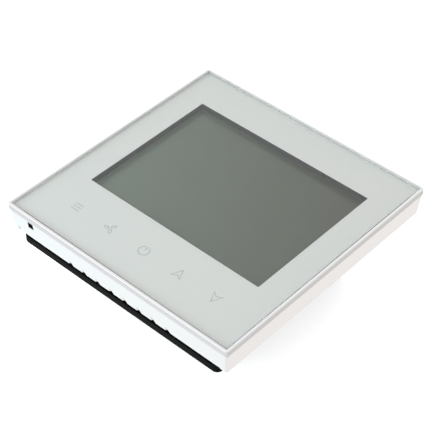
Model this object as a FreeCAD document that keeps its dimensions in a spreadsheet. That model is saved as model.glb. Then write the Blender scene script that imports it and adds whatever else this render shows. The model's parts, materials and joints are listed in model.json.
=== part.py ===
import FreeCAD, Part

import math
import os
import re

import Sketcher

# A wall thermostat with a square glass front and a touch display.
#
# The frame stands upright as the thermostat is installed: +X is to the right seen from the front,
# +Z is up and -Y points into the room.  The plane Y = 0 is the wall, and the origin lies midway
# between the two wall-box screws.  Depths are given as distances in front of the wall, so a size
# named "..._front" grows towards the room and a negative one lies inside the wall.
#
# The front unit (glass, bezel, cover, display and its board) plugs onto the rear unit (black base
# with the in-wall box, power board and terminals).

doc = FreeCAD.newDocument("wall_thermostat")
sizes = doc.addObject("Spreadsheet::Sheet", "Sizes")

# ---------------------------------------------------------------------------------------------
# Driving dimensions, in millimetres and degrees
# ---------------------------------------------------------------------------------------------

DIMENSIONS = [
    ("front_size", 86.0, "side of the square front"),
    ("front_depth", 13.3, "how far the front stands out of the wall"),
    ("corner_radius", 0.8, "upright corners of the bezel and the cover"),
    ("bezel_height", 2.0, "height of the silver band seen from the side"),
    ("bezel_rim", 0.8, "width of the silver rim around the glass"),
    ("bezel_edge_radius", 0.25, "rounding of the rim's outer front edge"),
    ("ledge_width", 2.0, "inner ledge of the bezel, under the glass"),
    ("ledge_thickness", 0.5, "thickness of that ledge"),
    ("glass_recess", 0.1, "glass below the rim"),
    ("glass_thickness", 1.5, "front glass"),
    ("glass_gap", 0.15, "gap between glass and rim"),
    ("glass_chamfer", 0.2, "ground edge of the glass"),
    ("mask_thickness", 0.15, "printed layer on the back of the glass"),
    ("mask_margin", 0.3, "clear border of the glass around the print"),
    ("window_width", 65.7, "clear window in the print"),
    ("window_height", 48.3, "height of that window"),
    ("window_rise", 5.05, "centre of the window above the centre of the front"),
    ("cover_step", 0.15, "white cover set in from the bezel"),
    ("cover_edge_front", 3.85, "rear edge of the cover's walls"),
    ("cover_taper", 5.75, "draft of the cover's walls, in degrees"),
    ("cover_wall", 1.5, "wall thickness at the rear edge"),
    ("cover_edge_inset", 0.9, "rear edge of the walls set in from the side of the front"),
    ("web_front", 9.7, "rear face of the cover's front web"),
    ("fit_gap", 0.1, "assembly gap between seated parts"),
    ("rebate_length", 79.6, "shallow step along the cover's lower and upper edges"),
    ("rebate_height", 1.75, "height of that step"),
    ("rebate_depth", 0.15, "depth of that step at the edge"),
    ("scoop_count", 8, "air scoops along the lower and the upper wall"),
    ("scoop_pitch", 5.47, "distance from scoop to scoop"),
    ("scoop_length", 4.0, "length of a scoop, from its wide end to its tip"),
    ("scoop_radius", 1.0, "radius of a scoop at its wide end"),
    ("scoop_lean", 34, "lean of a scoop along the wall, in degrees"),
    ("scoop_shift", 1.5, "wide end of a scoop, right of its place in the row"),
    ("scoop_overrun", 0.7, "wide end of a scoop, past the rear edge of the wall"),
    ("sensor_left", 33.7, "temperature sensor, left of the centre"),
    ("sensor_front", 9.6, "temperature sensor, in front of the wall"),
    ("sensor_hole_width", 2.2, "opening in the lower wall for the air sensor"),
    ("sensor_hole_height", 2.3, "height of that opening"),
    ("sensor_notch_drop", 36.5, "inner end of the sensor's channel below the centre"),
    ("bead_radius", 0.85, "sensor bead"),
    ("bead_drop", 41.3, "sensor bead below the centre"),
    ("lead_radius", 0.22, "sensor lead"),
    ("lead_pitch", 1.1, "distance between the two sensor leads"),
    ("lead_drop", 37.2, "where the leads meet the board, below the centre"),
    ("lead_bend", 1.2, "bend radius of the leads"),
    ("key_count", 5, "touch keys"),
    ("key_pitch", 13.55, "distance from key to key"),
    ("key_drop", 30.3, "key row below the centre"),
    ("key_pad_radius", 3.2, "conductive post behind each key"),
    ("key_hole_radius", 3.8, "hole in the web around each post"),
    ("gasket_width", 1.9, "foam frame around the display window"),
    ("gasket_setback", 0.15, "foam frame set back from the edge of the print"),
    ("polariser_margin", 0.6, "polariser beyond the window"),
    ("polariser_thickness", 0.2, "polarising film"),
    ("display_width", 71.0, "liquid crystal cell"),
    ("display_height", 52.6, "rear glass of the cell"),
    ("display_glass", 0.9, "thickness of each glass of the cell"),
    ("contact_ledge", 3.0, "contact strip below the cell"),
    ("guide_margin", 1.2, "light guide beyond the window"),
    ("guide_thickness", 2.0, "acrylic light guide"),
    ("reflector_thickness", 0.15, "white sheet behind the light guide"),
    ("holder_border", 2.2, "plastic frame around the cell"),
    ("holder_front", 9.2, "front edge of that frame"),
    ("connector_depth", 2.2, "elastomer contact strip, seen from the front"),
    ("led_count", 3, "lamps at the side of the light guide"),
    ("led_pitch", 15.0, "distance from lamp to lamp"),
    ("led_width", 1.4, "lamp along X"),
    ("led_height", 3.5, "lamp along Z"),
    ("led_depth", 2.2, "lamp along Y"),
    ("display_board_width", 70.0, "board behind the display"),
    ("display_board_height", 76.0, "height of that board"),
    ("display_board_front", 3.7, "rear face of that board"),
    ("display_board_thickness", 1.2, "thickness of that board"),
    ("boss_across", 20.3, "screw bosses of the cover, from the centre along X"),
    ("boss_rise", 35.6, "screw bosses of the cover, from the centre along Z"),
    ("boss_radius", 2.0, "screw boss"),
    ("boss_bore", 0.85, "pilot hole of a boss"),
    ("small_screw_radius", 1.0, "thread of the small screws"),
    ("small_head_radius", 1.9, "head of the small screws"),
    ("small_head_height", 1.2, "height of that head"),
    ("small_screw_length", 5.0, "length under the head"),
    ("screw_clearance", 1.3, "clearance hole for a small screw"),
    ("drive_width", 0.5, "width of a cross recess's arm"),
    ("drive_depth", 0.6, "depth of a cross recess"),
    ("tongue_across", 38.6, "snap tongues of the cover, from the centre along X"),
    ("tongue_rise", 24.0, "snap tongues, from the centre along Z"),
    ("tongue_thickness", 1.2, "thickness of a tongue"),
    ("tongue_width", 10.0, "width of a tongue"),
    ("tongue_front", 3.2, "free end of a tongue"),
    ("base_width", 77.6, "black base plate"),
    ("base_height", 84.0, "height of that plate"),
    ("base_thickness", 2.9, "edge of that plate"),
    ("base_corner_radius", 2.0, "upright corners of that plate"),
    ("base_edge_radius", 0.8, "rounding of its rear edge"),
    ("base_floor", 1.6, "floor of the plate"),
    ("neck_inset", 1.7, "raised rim set in from the plate's edge"),
    ("neck_front", 4.6, "front edge of the raised rim"),
    ("neck_wall", 1.3, "thickness of the raised rim"),
    ("screw_spacing", 60.3, "distance between the two wall-box screws"),
    ("slot_length", 6.4, "slot for a wall-box screw"),
    ("slot_width", 4.2, "width of that slot"),
    ("box_size", 54.0, "in-wall box"),
    ("box_depth", 22.1, "in-wall box behind the wall plane"),
    ("box_wall", 1.6, "wall of that box"),
    ("recess_top_drop", 15.5, "upper end of the terminal recess below the centre"),
    ("recess_depth", 13.0, "floor of the terminal recess behind the wall plane"),
    ("post_across", 22.6, "posts for the rear cover, from the centre along X and Z"),
    ("post_radius", 2.6, "post and its boss"),
    ("board_boss_across", 22.3, "power board bosses, from the centre along X"),
    ("board_boss_drop", 22.3, "lower power board bosses below the centre"),
    ("power_board_size", 49.6, "power board"),
    ("power_board_thickness", 1.6, "thickness of that board"),
    ("power_board_depth", 4.6, "front face of that board behind the wall plane"),
    ("power_board_notch", 5.4, "cut corners of that board around the posts"),
    ("rear_cover_thickness", 2.0, "lid of the in-wall box"),
    ("rear_cover_gap", 0.2, "gap around the lid"),
    ("counterbore_radius", 2.2, "seat of a screw head in the lid"),
    ("counterbore_depth", 1.3, "depth of that seat"),
    ("rear_vent_count", 5, "air slots in the lid"),
    ("rear_vent_pitch", 4.2, "distance from slot to slot"),
    ("rear_vent_width", 1.6, "width of a slot"),
    ("rear_vent_height", 16.0, "length of a slot"),
    ("pin_count", 8, "pins in each of the two rows of the plug"),
    ("pin_pitch", 2.54, "distance from pin to pin"),
    ("pin_width", 0.64, "square pin"),
    ("pin_length", 5.2, "free length of a pin"),
    ("pin_clearance", 0.1, "gap around a pin in the socket"),
    ("plug_drop", 8.0, "plug and socket below the centre"),
    ("plug_height", 5.0, "plug body along Z"),
    ("plug_depth", 2.5, "plug body along Y"),
    ("plug_window_gap", 1.6, "opening in the base around plug and socket"),
    ("socket_gap", 0.1, "gap between plug and socket"),
    ("terminal_count", 6, "screw terminals"),
    ("terminal_pitch", 7.6, "distance from terminal to terminal"),
    ("terminal_drop", 21.6, "terminal screws below the centre"),
    ("barrier_thickness", 1.2, "wall between two terminals"),
    ("barrier_height", 5.2, "height of that wall"),
    ("terminal_base_width", 49.0, "foot of the terminal block"),
    ("terminal_base_thickness", 3.2, "thickness of that foot"),
    ("terminal_block_height", 11.3, "terminal block along Z"),
    ("plate_width", 6.0, "brass contact plate"),
    ("plate_height", 8.4, "height of that plate"),
    ("plate_thickness", 0.8, "thickness of that plate"),
    ("tail_width", 1.0, "tail from the plate to the power board"),
    ("tail_rise", 3.4, "tail above the terminal screw"),
    ("tail_gap", 0.2, "gap around a tail"),
    ("clamp_size", 5.8, "square clamping washer"),
    ("clamp_thickness", 0.9, "thickness of that washer"),
    ("clamp_bore", 1.58, "bore of the washer"),
    ("clamp_gap", 0.05, "gap between washer and plate when tight"),
    ("terminal_screw_radius", 1.5, "thread of a terminal screw"),
    ("terminal_screw_length", 4.65, "length under the head"),
    ("terminal_head_radius", 2.7, "head of a terminal screw"),
    ("terminal_head_height", 2.0, "height of that head"),
    ("terminal_drive_width", 0.8, "width of the driver slot"),
    ("terminal_drive_depth", 1.0, "depth of the driver slot"),
    ("thread_gap", 0.05, "gap around the thread in the plate"),
    ("foot_bore", 1.9, "bore of the block under a terminal screw"),
]

# Parts soldered to the display board, on its rear face: width, height, depth, x and z.
DISPLAY_BOARD_PARTS = {
    "controller_chip": (10.0, 10.0, 1.5, -20.0, 12.0),
    "driver_chip": (7.0, 7.0, 1.5, 20.0, -18.0),
    "buzzer": (9.0, 9.0, 1.8, 22.0, 16.0),
}

# Parts soldered to the power board, on its rear face: width, height, depth, x and z.
POWER_BOARD_PARTS = {
    "relay": (10.0, 17.6, 12.3, 0.0, 12.2),
    "transformer_core": (13.0, 5.2, 11.0, -13.0, -6.5),
    "transformer_winding": (8.4, 11.5, 6.6, -13.0, -6.5),
    "regulator_chip": (4.0, 5.0, 1.5, 7.6, -21.6),
}

ROUND_PARTS = [
    ("battery_radius", 6.0, "backup cell"),
    ("battery_depth", 1.8, "thickness of that cell"),
    ("battery_left", 22.0, "backup cell left of the centre"),
    ("battery_drop", 16.0, "backup cell below the centre"),
    ("crystal_radius", 0.75, "clock crystal"),
    ("crystal_length", 5.0, "length of the crystal"),
    ("crystal_rise", 2.5, "crystal above the centre"),
    ("relay_count", 4, "relays"),
    ("relay_pitch", 10.2, "distance from relay to relay"),
    ("core_window_width", 9.0, "window of the transformer core"),
    ("core_window_depth", 7.0, "depth of that window"),
    ("core_leg", 2.0, "ferrite below and above that window"),
    ("capacitor_radius", 4.0, "electrolytic capacitor"),
    ("capacitor_length", 11.5, "length of a capacitor"),
    ("capacitor_count", 2, "electrolytic capacitors"),
    ("capacitor_pitch", 9.0, "distance between them"),
    ("capacitor_right", 5.5, "middle of the pair right of the centre"),
    ("capacitor_drop", 7.0, "capacitors below the centre"),
    ("varistor_radius", 4.5, "surge absorber"),
    ("varistor_thickness", 3.6, "thickness of the surge absorber"),
    ("varistor_right", 18.6, "surge absorber right of the centre"),
    ("varistor_drop", 8.0, "surge absorber below the centre"),
    ("fuse_radius", 1.8, "fuse"),
    ("fuse_length", 9.0, "length of the fuse"),
    ("fuse_left", 10.0, "fuse left of the centre"),
    ("fuse_drop", 22.4, "fuse below the centre"),
]

SIDES = ("width", "height", "depth", "x", "z")


def component_dimensions(table):
    """Rows for the sheet from a table of rectangular components."""
    rows = []
    for part, numbers in table.items():
        for side, number in zip(SIDES, numbers):
            rows.append((f"{part}_{side}", number, f"{part.replace('_', ' ')}, {side}"))
    return rows


ALL_DIMENSIONS = (
    DIMENSIONS + ROUND_PARTS
    + component_dimensions(DISPLAY_BOARD_PARTS) + component_dimensions(POWER_BOARD_PARTS)
)
ALIASES = {alias for alias, _, _ in ALL_DIMENSIONS}

for row, (alias, number, meaning) in enumerate(ALL_DIMENSIONS, start=1):
    sizes.set(f"A{row}", meaning)
    sizes.set(f"B{row}", str(number))
    sizes.setAlias(f"B{row}", alias)
doc.recompute()


# ---------------------------------------------------------------------------------------------
# Helpers
# ---------------------------------------------------------------------------------------------

def expression(text):
    """Turn plain words such as front_size / 2 into references to the sheet."""
    def refer(match):
        word = match.group(0)
        return f"Sizes.{word}" if word in ALIASES else word
    return re.sub(r"[a-z][a-z_0-9]*", refer, str(text))


def measure(text):
    """The number that an expression gives."""
    return float(sizes.evalExpression(expression(text)))


def bind(target, **properties):
    """Bind properties to expressions; base_x stands for Placement.Base.x, and so on."""
    for name, text in properties.items():
        path = f"Placement.Base.{name[-1]}" if name.startswith("base_") else name
        target.setExpression(path, expression(text))


def origin_item(body, role):
    """A plane or an axis of the body's own origin."""
    return next(item for item in body.Origin.OriginFeatures if item.Role == role)


def new_body(label):
    body = doc.addObject("PartDesign::Body", label)
    body.Label = label
    return body


def wall_sketch(body, name, front, x="0", z="0"):
    """An empty sketch parallel to the wall, with its own origin at (x, z)."""
    sketch = body.newObject("Sketcher::SketchObject", name)
    sketch.AttachmentSupport = [(origin_item(body, "XZ_Plane"), "")]
    sketch.MapMode = "FlatFace"
    sketch.setExpression("AttachmentOffset.Base.x", expression(x))
    sketch.setExpression("AttachmentOffset.Base.y", expression(z))
    sketch.setExpression("AttachmentOffset.Base.z", expression(front))
    return sketch


def size_constraint(sketch, kind, *places, name, text):
    """A named distance or radius, bound to the sheet."""
    index = sketch.addConstraint(Sketcher.Constraint(kind, *places, measure(text)))
    sketch.renameConstraint(index, name)
    sketch.setExpression(f"Constraints.{name}", expression(text))


def draw_rectangle(sketch, width, height):
    """A rectangle centred on the sketch's origin."""
    half_width = measure(width) / 2
    half_height = measure(height) / 2
    signs = [(-1, -1), (1, -1), (1, 1), (-1, 1)]
    corners = [FreeCAD.Vector(i * half_width, j * half_height, 0) for i, j in signs]
    for i in range(4):
        sketch.addGeometry(Part.LineSegment(corners[i], corners[(i + 1) % 4]))
    for i in range(4):
        sketch.addConstraint(Sketcher.Constraint("Coincident", i, 2, (i + 1) % 4, 1))
    for i in (0, 2):
        sketch.addConstraint(Sketcher.Constraint("Horizontal", i))
    for i in (1, 3):
        sketch.addConstraint(Sketcher.Constraint("Vertical", i))
    sketch.addConstraint(Sketcher.Constraint("Symmetric", 0, 1, 2, 1, -1, 1))
    size_constraint(sketch, "DistanceX", 0, 1, 0, 2, name="width", text=width)
    size_constraint(sketch, "DistanceY", 1, 1, 1, 2, name="height", text=height)


def draw_circle(sketch, radius):
    """A circle centred on the sketch's origin."""
    normal = FreeCAD.Vector(0, 0, 1)
    sketch.addGeometry(Part.Circle(FreeCAD.Vector(0, 0, 0), normal, measure(radius)))
    sketch.addConstraint(Sketcher.Constraint("Coincident", 0, 3, -1, 1))
    size_constraint(sketch, "Radius", 0, name="radius", text=radius)


def draw_slot(sketch, length, width):
    """A level slot with round ends, centred on the sketch's origin."""
    radius = measure(width) / 2
    reach = measure(length) / 2 - radius
    normal = FreeCAD.Vector(0, 0, 1)
    for side, start in ((1, -math.pi / 2), (-1, math.pi / 2)):
        circle = Part.Circle(FreeCAD.Vector(side * reach, 0, 0), normal, radius)
        sketch.addGeometry(Part.ArcOfCircle(circle, start, start + math.pi))
    upper = (FreeCAD.Vector(reach, radius, 0), FreeCAD.Vector(-reach, radius, 0))
    lower = (FreeCAD.Vector(-reach, -radius, 0), FreeCAD.Vector(reach, -radius, 0))
    sketch.addGeometry(Part.LineSegment(*upper))
    sketch.addGeometry(Part.LineSegment(*lower))
    for first, first_end, second, second_end in ((0, 2, 2, 1), (2, 2, 1, 1), (1, 2, 3, 1), (3, 2, 0, 1)):
        sketch.addConstraint(Sketcher.Constraint("Tangent", first, first_end, second, second_end))
    sketch.addConstraint(Sketcher.Constraint("Horizontal", 2))
    sketch.addConstraint(Sketcher.Constraint("Symmetric", 0, 3, 1, 3, -1, 1))
    size_constraint(sketch, "Radius", 0, name="radius", text=f"({width}) / 2")
    size_constraint(sketch, "DistanceX", 1, 3, 0, 3, name="reach", text=f"({length}) - ({width})")


def pad(body, sketch, name, depth):
    """Grow the sketch towards the room."""
    feature = body.newObject("PartDesign::Pad", name)
    feature.Profile = sketch
    bind(feature, Length=depth)
    return feature


def pocket(body, sketch, name, depth):
    """Cut the sketch away from the room, towards the wall."""
    feature = body.newObject("PartDesign::Pocket", name)
    feature.Profile = sketch
    bind(feature, Length=depth)
    return feature


def square_pad(body, name, width, height, front, depth, x="0", z="0"):
    sketch = wall_sketch(body, f"{name}_outline", front, x, z)
    draw_rectangle(sketch, width, height)
    return pad(body, sketch, name, depth)


def square_pocket(body, name, width, height, front, depth, x="0", z="0"):
    sketch = wall_sketch(body, f"{name}_outline", front, x, z)
    draw_rectangle(sketch, width, height)
    return pocket(body, sketch, name, depth)


def round_pad(body, name, radius, front, depth, x="0", z="0"):
    sketch = wall_sketch(body, f"{name}_outline", front, x, z)
    draw_circle(sketch, radius)
    return pad(body, sketch, name, depth)


def round_pocket(body, name, radius, front, depth, x="0", z="0"):
    sketch = wall_sketch(body, f"{name}_outline", front, x, z)
    draw_circle(sketch, radius)
    return pocket(body, sketch, name, depth)


def repeat_along_x(body, name, features, pitch, count):
    """Repeat features from left to right."""
    pattern = body.newObject("PartDesign::LinearPattern", name)
    pattern.Originals = features
    pattern.Direction = (origin_item(body, "X_Axis"), [""])
    bind(pattern, Length=f"({pitch}) * ({count} - 1)", Occurrences=count)
    body.Tip = pattern
    return pattern


def mirror_up(body, name, features):
    """Mirror features from the lower half to the upper half."""
    mirror = body.newObject("PartDesign::Mirrored", name)
    mirror.Originals = features
    mirror.MirrorPlane = (origin_item(body, "XY_Plane"), [""])
    body.Tip = mirror
    return mirror


def runs_through(edge):
    """True for an edge that runs from the rear to the front of a flat piece."""
    return edge.BoundBox.YLength > 1.0


def lies_at_front(front, across):
    """A test for the edges at one depth that lie at least `across` from the centre."""
    def chosen(edge):
        box = edge.BoundBox
        if abs(box.YMin + front) > 1e-4 or abs(box.YMax + front) > 1e-4:
            return False
        middle = box.Center
        return max(abs(middle.x), abs(middle.z)) > across
    return chosen


def dress_edges(body, kind, name, size, chosen):
    """Fillet or chamfer the chosen edges of the body so far."""
    doc.recompute()
    base = body.Tip
    names = [f"Edge{i}" for i, edge in enumerate(base.Shape.Edges, start=1) if chosen(edge)]
    feature = body.newObject(f"PartDesign::{kind}", name)
    feature.Base = (base, names)
    bind(feature, **{"Radius" if kind == "Fillet" else "Size": size})
    return feature


def block(label, width, height, depth, x, z, front):
    """A plain box: `front` is the distance of its rear face in front of the wall."""
    box = doc.addObject("Part::Box", label)
    box.Label = label
    bind(box, Length=width, Width=depth, Height=height)
    bind(box, base_x=f"({x}) - ({width}) / 2", base_y=f"-({front}) - ({depth})")
    bind(box, base_z=f"({z}) - ({height}) / 2")
    return box


TO_ROOM = FreeCAD.Rotation(FreeCAD.Vector(1, 0, 0), 90)
TO_RIGHT = FreeCAD.Rotation(FreeCAD.Vector(0, 1, 0), 90)


def post(label, radius, length, x, z, front, rotation=TO_ROOM):
    """A plain cylinder that starts at (x, -front, z)."""
    cylinder = doc.addObject("Part::Cylinder", label)
    cylinder.Label = label
    cylinder.Placement = FreeCAD.Placement(FreeCAD.Vector(0, 0, 0), rotation)
    bind(cylinder, Radius=radius, Height=length, base_x=x, base_y=f"-({front})", base_z=z)
    return cylinder


def group(label, members):
    """Identical separate solids that share one node."""
    compound = doc.addObject("Part::Compound", label)
    compound.Label = label
    compound.Links = members
    return compound


def cut(label, base, tool):
    difference = doc.addObject("Part::Cut", label)
    difference.Label = label
    difference.Base = base
    difference.Tool = tool
    return difference


def fuse(label, members):
    union = doc.addObject("Part::MultiFuse", label)
    union.Label = label
    union.Shapes = members
    return union


def row_position(pitch, count, index):
    """Expression for the place of one member of a centred row."""
    return f"({pitch}) * ({index} - ({count} - 1) / 2)"


# Signs for the four corners, and side and height of the power board's four bosses.
FOUR_CORNERS = [(-1, -1), (1, -1), (-1, 1), (1, 1)]
BOARD_BOSSES = [(-1, "-board_boss_drop"), (1, "-board_boss_drop"), (-1, "0"), (1, "0")]
NODES = []


def node(item):
    """Keep a finished sub-part; its label names its file."""
    NODES.append(item)
    return item


# ---------------------------------------------------------------------------------------------
# Places that several sub-parts share, as distances in front of the wall and as sizes
# ---------------------------------------------------------------------------------------------

GLASS_BACK = "front_depth - glass_recess - glass_thickness"
MASK_BACK = f"{GLASS_BACK} - mask_thickness"
GLASS_SIZE = "front_size - 2 * bezel_rim - 2 * glass_gap"
BEZEL_BACK = "front_depth - bezel_height"

# The display stack, from the front: foam frame, film, two glasses, film, light guide, white sheet.
BOARD_FRONT = "display_board_front + display_board_thickness"
REFLECTOR_BACK = f"{BOARD_FRONT} + fit_gap"
GUIDE_BACK = f"{REFLECTOR_BACK} + reflector_thickness"
REAR_FILM_BACK = f"{GUIDE_BACK} + guide_thickness"
REAR_GLASS_BACK = f"{REAR_FILM_BACK} + polariser_thickness"
FRONT_GLASS_BACK = f"{REAR_GLASS_BACK} + display_glass"
FRONT_FILM_BACK = f"{FRONT_GLASS_BACK} + display_glass"
GASKET_BACK = f"{FRONT_FILM_BACK} + polariser_thickness"
GUIDE_WIDTH = "window_width + 2 * guide_margin"
GUIDE_HEIGHT = "window_height + 2 * guide_margin"

PLUG_WIDTH = "pin_pitch * pin_count + fit_gap"
POWER_BACK = "-(power_board_depth + power_board_thickness)"

# The terminals, from the foot of their block to the heads of their screws.
BLOCK_FRONT = "-recess_depth"
BLOCK_BACK = "-(recess_depth + terminal_base_thickness)"
PLATE_BACK = f"{BLOCK_BACK} - plate_thickness"
CLAMP_FRONT = f"{PLATE_BACK} - clamp_gap"
CLAMP_BACK = f"{CLAMP_FRONT} - clamp_thickness"
BLOCK_CENTRE = "-(recess_top_drop + fit_gap + terminal_block_height / 2)"
FIRST_TERMINAL = row_position("terminal_pitch", "terminal_count", 0)


# ---------------------------------------------------------------------------------------------
# Front unit: glass, bezel and cover
# ---------------------------------------------------------------------------------------------

def glass_panel():
    """Clear front glass with ground edges."""
    body = new_body("glass_panel")
    square_pad(body, "sheet", GLASS_SIZE, GLASS_SIZE, GLASS_BACK, "glass_thickness")
    front = measure("front_depth - glass_recess")
    rim = measure(GLASS_SIZE) / 2 - 1
    dress_edges(body, "Chamfer", "ground_edge", "glass_chamfer", lies_at_front(front, rim))
    return node(body)


def printed_mask():
    """Opaque print on the back of the glass, with the clear display window left out."""
    body = new_body("printed_mask")
    print_size = f"{GLASS_SIZE} - 2 * mask_margin"
    square_pad(body, "print", print_size, print_size, MASK_BACK, "mask_thickness")
    square_pocket(body, "window", "window_width", "window_height", GLASS_BACK, "mask_thickness",
                  z="window_rise")
    return node(body)


def bezel_frame():
    """Silver ring: a thin rim around the glass and an inner ledge under it."""
    body = new_body("bezel_frame")
    seat_size = "front_size - 2 * bezel_rim"
    ledge_back = f"{MASK_BACK} - ledge_thickness"
    opening = f"{seat_size} - 2 * ledge_width"
    square_pad(body, "band", "front_size", "front_size", BEZEL_BACK, "bezel_height")
    dress_edges(body, "Fillet", "corners", "corner_radius", runs_through)
    square_pad(body, "ledge", seat_size, seat_size, ledge_back, "ledge_thickness")
    square_pocket(body, "glass_seat", seat_size, seat_size, "front_depth",
                  f"front_depth - ({MASK_BACK})")
    square_pocket(body, "opening", opening, opening, "front_depth", f"front_depth - ({ledge_back})")
    rim = measure("front_size / 2 - bezel_rim / 2")
    dress_edges(body, "Fillet", "rim_edge", "bezel_edge_radius",
                lies_at_front(measure("front_depth"), rim))
    return node(body)


def cover_shell(body):
    """Drafted walls and front web of the white cover, open towards the wall."""
    front_size = "front_size - 2 * cover_step"
    walls = square_pad(body, "walls", front_size, front_size, BEZEL_BACK,
                       f"{BEZEL_BACK} - cover_edge_front")
    walls.Reversed = True
    bind(walls, TaperAngle="-cover_taper")
    dress_edges(body, "Fillet", "corners", "corner_radius", runs_through)
    ledge_back = f"{MASK_BACK} - ledge_thickness"
    seat = "front_size - 2 * bezel_rim + 2 * fit_gap"
    square_pocket(body, "bezel_seat", seat, seat, BEZEL_BACK, f"{BEZEL_BACK} - ({ledge_back})")
    plateau = "front_size - 2 * bezel_rim - 2 * ledge_width - 2 * fit_gap"
    square_pad(body, "glass_support", plateau, plateau, ledge_back, "ledge_thickness")
    cavity = "front_size - 2 * cover_edge_inset - 2 * cover_wall"
    square_pocket(body, "cavity", cavity, cavity, "web_front", "web_front - cover_edge_front")


def cover_openings(body):
    """Display window, holes for the key posts and the channel of the air sensor."""
    width = "window_width + 2 * gasket_setback + 2 * gasket_width + 2 * fit_gap"
    height = "window_height + 2 * gasket_setback + 2 * gasket_width + 2 * fit_gap"
    web = f"{MASK_BACK} - web_front"
    square_pocket(body, "display_opening", width, height, MASK_BACK, web, z="window_rise")
    first = "-key_pitch * (key_count - 1) / 2"
    hole = round_pocket(body, "key_hole", "key_hole_radius", MASK_BACK, web, x=first, z="-key_drop")
    repeat_along_x(body, "key_holes", [hole], "key_pitch", "key_count")
    sketch = body.newObject("Sketcher::SketchObject", "sensor_hole_outline")
    sketch.AttachmentSupport = [(origin_item(body, "XY_Plane"), "")]
    sketch.MapMode = "FlatFace"
    sketch.setExpression("AttachmentOffset.Base.x", expression("-sensor_left"))
    sketch.setExpression("AttachmentOffset.Base.y", expression("-sensor_front"))
    sketch.setExpression("AttachmentOffset.Base.z", expression("-sensor_notch_drop"))
    draw_rectangle(sketch, "sensor_hole_width", "sensor_hole_height")
    pocket(body, sketch, "sensor_hole", "front_size / 2 - sensor_notch_drop")


def cover_air_scoops(body):
    """Shallow step along the lower and the upper edge, with a row of slanted scoops."""
    step = body.newObject("PartDesign::SubtractiveBox", "edge_step")
    bind(step, Length="rebate_length", Width="rebate_height", Height="cover_edge_inset",
         base_x="-rebate_length / 2", base_y="-cover_edge_front - rebate_height",
         base_z="-front_size / 2 + rebate_depth")
    mirror_up(body, "edge_steps", [step])
    for row, sign in (("lower", "-"), ("upper", "")):
        scoop = air_scoop(body, f"{row}_scoop", sign)
        repeat_along_x(body, f"{row}_scoops", [scoop], "scoop_pitch", "scoop_count")


def air_scoop(body, name, sign):
    """The leftmost scoop of the lower or the upper row: a cone with its axis on the wall's
    outer face. It leans along the wall, so one flank is steep and the other one gentle."""
    scoop = body.newObject("PartDesign::SubtractiveCone", name)
    lean = math.radians(measure("scoop_lean"))
    draft = math.tan(math.radians(measure("cover_taper")))
    towards_tip = FreeCAD.Vector(-math.tan(lean), -1, float(f"{sign}1") * draft)
    turned = FreeCAD.Rotation(FreeCAD.Vector(0, 0, 1), towards_tip)
    scoop.Placement = FreeCAD.Placement(FreeCAD.Vector(0, 0, 0), turned)
    row_start = row_position("scoop_pitch", "scoop_count", 0)
    bind(scoop, Radius1="scoop_radius", Radius2="0", Height="scoop_length",
         base_x=f"{row_start} + scoop_shift", base_y="-cover_edge_front + scoop_overrun",
         base_z=f"{sign}(front_size / 2 - cover_edge_inset)")
    return scoop


def cover_fixings(body):
    """Bosses for the display board and the four snap tongues that grip the base."""
    boss_length = f"web_front - ({BOARD_FRONT})"
    for i, (across, rise) in enumerate(FOUR_CORNERS):
        x = f"{across} * boss_across"
        z = f"{rise} * boss_rise"
        round_pad(body, f"boss_{i}", "boss_radius", BOARD_FRONT, boss_length, x, z)
        round_pocket(body, f"boss_bore_{i}", "boss_bore", "web_front", boss_length, x, z)
        square_pad(body, f"tongue_{i}", "tongue_thickness", "tongue_width", "tongue_front",
                   "web_front - tongue_front", f"{across} * tongue_across", f"{rise} * tongue_rise")


def front_cover():
    """White housing of the front unit."""
    body = new_body("front_cover")
    cover_shell(body)
    cover_openings(body)
    cover_fixings(body)
    cover_air_scoops(body)
    return node(body)


# ---------------------------------------------------------------------------------------------
# Front unit: display
# ---------------------------------------------------------------------------------------------

def window_gasket():
    """Black foam frame between the glass and the display."""
    body = new_body("window_gasket")
    inner_width = "window_width + 2 * gasket_setback"
    inner_height = "window_height + 2 * gasket_setback"
    depth = f"{MASK_BACK} - ({GASKET_BACK})"
    square_pad(body, "foam", f"{inner_width} + 2 * gasket_width", f"{inner_height} + 2 * gasket_width",
               GASKET_BACK, depth, z="window_rise")
    square_pocket(body, "clear_window", inner_width, inner_height, MASK_BACK, depth, z="window_rise")
    return node(body)


def display_cell():
    """Two glasses with a polarising film on each side; the front glass carries the contact strip."""
    ledge_height = "display_height + contact_ledge"
    ledge_centre = "window_rise - contact_ledge / 2"
    film_width = "window_width + 2 * polariser_margin"
    film_height = "window_height + 2 * polariser_margin"
    node(block("display_front_film", film_width, film_height, "polariser_thickness", "0",
               "window_rise", FRONT_FILM_BACK))
    node(block("display_front_glass", "display_width", ledge_height, "display_glass", "0",
               ledge_centre, FRONT_GLASS_BACK))
    node(block("display_rear_glass", "display_width", "display_height", "display_glass", "0",
               "window_rise", REAR_GLASS_BACK))
    node(block("display_rear_film", film_width, film_height, "polariser_thickness", "0",
               "window_rise", REAR_FILM_BACK))


def backlight():
    """Light guide, white sheet behind it and the lamps at its left side."""
    node(block("light_guide", GUIDE_WIDTH, GUIDE_HEIGHT, "guide_thickness", "0", "window_rise",
               GUIDE_BACK))
    node(block("reflector_sheet", GUIDE_WIDTH, GUIDE_HEIGHT, "reflector_thickness", "0",
               "window_rise", REFLECTOR_BACK))
    lamp_x = f"-({GUIDE_WIDTH}) / 2 - fit_gap - led_width / 2"
    lamps = []
    for i in range(int(measure("led_count"))):
        z = f"window_rise + {row_position('led_pitch', 'led_count', i)}"
        lamps.append(block(f"lamp_{i}", "led_width", "led_height", "led_depth", lamp_x, z, BOARD_FRONT))
    node(group("backlight_leds", lamps))


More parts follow.
